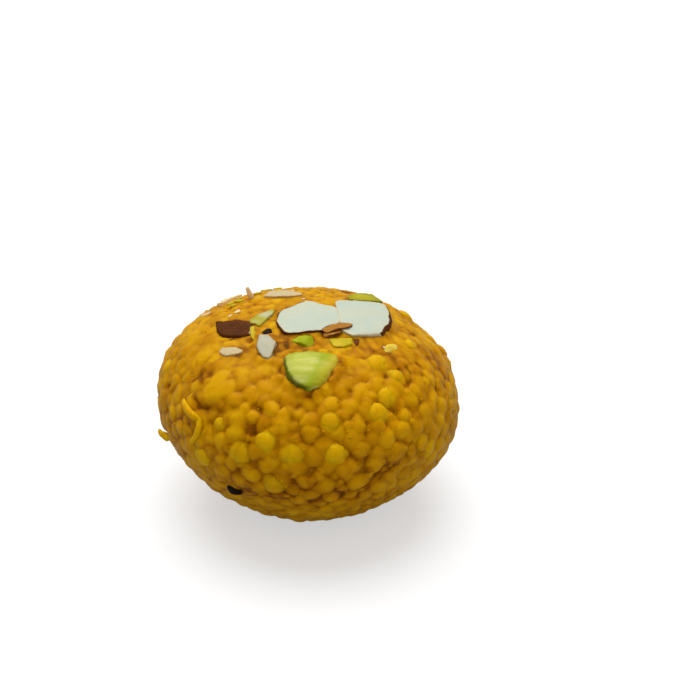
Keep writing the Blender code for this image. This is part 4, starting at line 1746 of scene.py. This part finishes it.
def make_ribbon(name, slot, material, tone=0.5, skin=0.0, **shape):
    """One ribbon piece, a little roughened, with a shade, and as much skin at its edges as told."""
    points, faces, edge = ribbon(**shape)
    seed = sum(map(ord, name))
    rough = np.stack([ripple(points, 1.3, seed + axis) for axis in range(3)], axis=1)
    points = points + RIBBON_ROUGH * rough
    plain = np.zeros(len(points))
    values = {"skin": skin * edge**2, "rim": plain + 0.3, "middle": plain + 0.5}
    values["shade"] = plain + tone
    piece = make_piece(name, points, faces, values=values)
    piece.data.materials.append(material)
    return piece


def on_round(azimuth, elevation, lift):
    """A point at a lift above the pressed outline."""
    return surface_point(azimuth, elevation, lift)[0]


print(f"a ribbon: {RIBBON_RINGS} rings of {RIBBON_AROUND} points")

# %% Scraps, splinter and threads of nut
# Brighter than the skin's own tan, because the scrap's front side lies in shade: partly painted
# light.
skin_tan_painted_light = finish_almond("scrap_tan_painted_light", (0.46, 0.20, 0.025), (0.30, 0.11, 0.01))
make_ribbon(
    "tan_scrap",
    "almond_skin",
    skin_tan_painted_light,
    skin=0.8,
    start=(2.6, -4.9, 15.7),
    through=(4.7, -3.5, 16.0),
    end=(7.4, -2.5, 15.7),
    width=2.2,
    thick=0.3,
    curl=-0.15,
    fullness=0.35,
)
make_ribbon(
    "tan_scrap_fold",
    "almond_skin",
    skin_tan_painted_light,
    skin=0.7,
    start=(2.7, -5.3, 15.2),
    through=(3.8, -4.8, 15.55),
    end=(5.6, -4.0, 15.45),
    width=1.7,
    thick=0.3,
    curl=-0.1,
    fullness=0.4,
)
make_ribbon(
    "almond_splinter",
    "almond",
    almond_peach_painted_light,
    start=(-9.1, 10.3, 13.0),
    through=(-9.8, 10.3, 14.3),
    end=(-10.3, 10.3, 15.7),
    width=0.9,
    thick=0.5,
    fullness=0.25,
    up=(0.0, -1.0, 0.0),
)
make_ribbon(
    "pistachio_thread",
    "pistachio",
    pistachio["pistachio_yellow"],
    start=on_round(-173, 59, 0.1),
    through=on_round(-160, 57.5, 0.25),
    end=on_round(-146, 55, 0.1),
    width=0.8,
    thick=0.5,
)

# %% Threads and nub of batter
make_ribbon(
    "batter_thread",
    "sweet",
    golden_crumb,
    0.78,
    start=on_round(-150, 17.5, 0.0),
    through=on_round(-142.5, 15.7, 0.3),
    end=on_round(-136, 14.8, 0.2),
    width=1.4,
    thick=1.0,
    fullness=0.35,
    up=heading(-143, 15),
)
make_ribbon(
    "batter_thread_end",
    "sweet",
    golden_crumb,
    0.74,
    start=on_round(-137, 15.8, 0.2),
    through=on_round(-135.5, 10.3, 0.25),
    end=on_round(-138.5, 4.3, 0.1),
    width=1.15,
    thick=1.0,
    fullness=0.35,
    up=heading(-137, 10),
)
make_ribbon(
    "batter_nub",
    "sweet",
    golden_crumb,
    0.9,
    start=on_round(-160, -6, -0.3),
    through=on_round(-163.5, -6.5, 0.35),
    end=on_round(-167, -5, 0.9),
    width=1.4,
    thick=1.1,
    fullness=0.4,
    up=heading(-164, -4),
)

# %% A pale smear of nut
make_ribbon(
    "pale_smear",
    "pistachio_pale",
    pistachio["pistachio_cream"],
    start=on_round(-29, 43, -0.1),
    through=on_round(-23, 42, 0.05),
    end=on_round(-17, 40, -0.1),
    width=1.4,
    thick=0.4,
    up=heading(-23, 50),
)


# %% [markdown]
# ## A cardamom seed and a black crumb
#
# A dark cardamom seed clings to the crumb low on the left, and a black crumb with the same finish
# lies in a dark hole beside the white almond piece, where it stands for shade: painted shade. The
# seed is a short, full ribbon, and its finish is nearly black and wrinkled.

# %% A seed and a black crumb
SEED_BLACK = (0.004, 0.002, 0.001)
SEED_BROWN = (0.02, 0.009, 0.004)


def finish_seed():
    """Cardamom seed: nearly black, wrinkled and dull."""
    material, tree, shader, spot = new_material("seed_black")
    clouds = patches(tree, spot, 0.7, 0.6)
    tree.links.new(blend(tree, clouds, SEED_BLACK, SEED_BROWN), shader.inputs["Base Color"])
    tree.links.new(span(tree, clouds, 0.0, 1.0, 0.4, 0.65), shader.inputs["Roughness"])
    set_sockets(shader, {"Specular IOR Level": 0.08})
    bumped(tree, shader, fine_height(tree, spot, 0.3, 0.8), 0.08)
    return material


seed_black = finish_seed()
# A black crumb in the dark hole beside the white almond piece: painted shade.
lay_bits("hole_shade_crumb", [(-151, 64, 0.05, 1.5, 1.5, 0.6, 10)], seed_black, 4)
make_ribbon(
    "cardamom_seed",
    "almond_skin",
    seed_black,
    start=on_round(-121.5, -8, 0.0),
    through=on_round(-119.5, -10.5, 0.2),
    end=on_round(-117, -13.5, 0.0),
    width=1.5,
    thick=0.9,
    fullness=0.6,
    up=heading(-119, -11),
)

# %% [markdown]
# ## Stage, light and camera
#
# The floor is plain and pale. A broad light from above, a little behind, makes the crown bright and
# lets the belly fall into deep gold, and a weak even sky keeps the shadows soft. Two suns with wide
# angles are used for that, because unlike area lights they light every side alike at any distance.

# %% Floor
FLOOR_HALF = 30.0  # metres, so that the floor fills the view
FLOOR_LIT = (0.40, 0.40, 0.40)  # the grey that lights the sweet from below
FLOOR_SEEN = (0.50, 0.50, 0.50)  # the grey that is seen, and the glow that makes it nearly white
FLOOR_GLOW = (0.54, 0.54, 0.54)
NO_GLOW = (0.0, 0.0, 0.0)


def make_floor():
    """A plain pale floor, wide enough to fill the view."""
    mesh = bpy.data.meshes.new("floor")
    signs = ((-1, -1), (1, -1), (1, 1), (-1, 1))
    corners = [(x * FLOOR_HALF, y * FLOOR_HALF, 0.0) for x, y in signs]
    mesh.from_pydata(corners, [], [(0, 1, 2, 3)])
    floor = bpy.data.objects.new("floor", mesh)
    bpy.context.scene.collection.objects.link(floor)
    material, tree, shader, spot = new_material("pale_floor")
    seen = node(tree, "ShaderNodeLightPath").outputs["Is Camera Ray"]
    tree.links.new(blend(tree, seen, FLOOR_LIT, FLOOR_SEEN), shader.inputs["Base Color"])
    tree.links.new(blend(tree, seen, NO_GLOW, FLOOR_GLOW), shader.inputs["Emission Color"])
    set_sockets(shader, {"Emission Strength": 1.0, "Specular IOR Level": 0.0, "Roughness": 0.9})
    mesh.materials.append(material)
    return floor


make_floor()

# %% Lights and sky
SKY_LIGHT = 0.30  # strength of the sky's light on the sweet
SKY_SEEN = 1.0


def make_sun(name, azimuth, elevation, strength, softness):
    """A distant light that shines from a heading, with a softness in degrees."""
    light = bpy.data.lights.new(name, "SUN")
    light.energy = strength
    light.angle = math.radians(softness)
    lamp = bpy.data.objects.new(name, light)
    lamp.rotation_mode = "QUATERNION"
    lamp.rotation_quaternion = Vector(heading(azimuth, elevation)).to_track_quat("Z", "Y")
    bpy.context.scene.collection.objects.link(lamp)
    return lamp


make_sun("overhead", 100, 70, 2.8, 60)
make_sun("front_fill", -75, 24, 0.55, 80)
world = bpy.data.worlds.new("soft_sky")
bpy.context.scene.world = world
world.use_nodes = True
sky = world.node_tree.nodes["Background"]
sky.inputs["Color"].default_value = (1.0, 1.0, 1.0, 1.0)
seen = node(world.node_tree, "ShaderNodeLightPath").outputs["Is Camera Ray"]
strength = span(world.node_tree, seen, 0.0, 1.0, SKY_LIGHT, SKY_SEEN)
world.node_tree.links.new(strength, sky.inputs["Strength"])
bpy.context.scene.view_settings.view_transform = "Standard"
print("lights:", [light.name for light in bpy.data.lights])

# %% Camera
CAMERA_PLACE = (5.3, -245.9, 153.7)  # mm from the middle of the widest level
CAMERA_DIP = 30.06  # degrees below the horizon
CAMERA_LENS = 91.9  # mm of focal length, on a sensor 36 mm wide

camera_data = bpy.data.cameras.new("camera")
camera_data.lens = CAMERA_LENS
camera_data.sensor_width = 36.0
camera = bpy.data.objects.new("camera", camera_data)
camera.location = (np.array(CAMERA_PLACE) + [0.0, 0.0, SEAT_LEVEL]) * MM
camera.rotation_euler = (math.radians(90.0 - CAMERA_DIP), 0.0, 0.0)
bpy.context.scene.collection.objects.link(camera)
bpy.context.scene.camera = camera
print("camera", CAMERA_DIP, "degrees down")
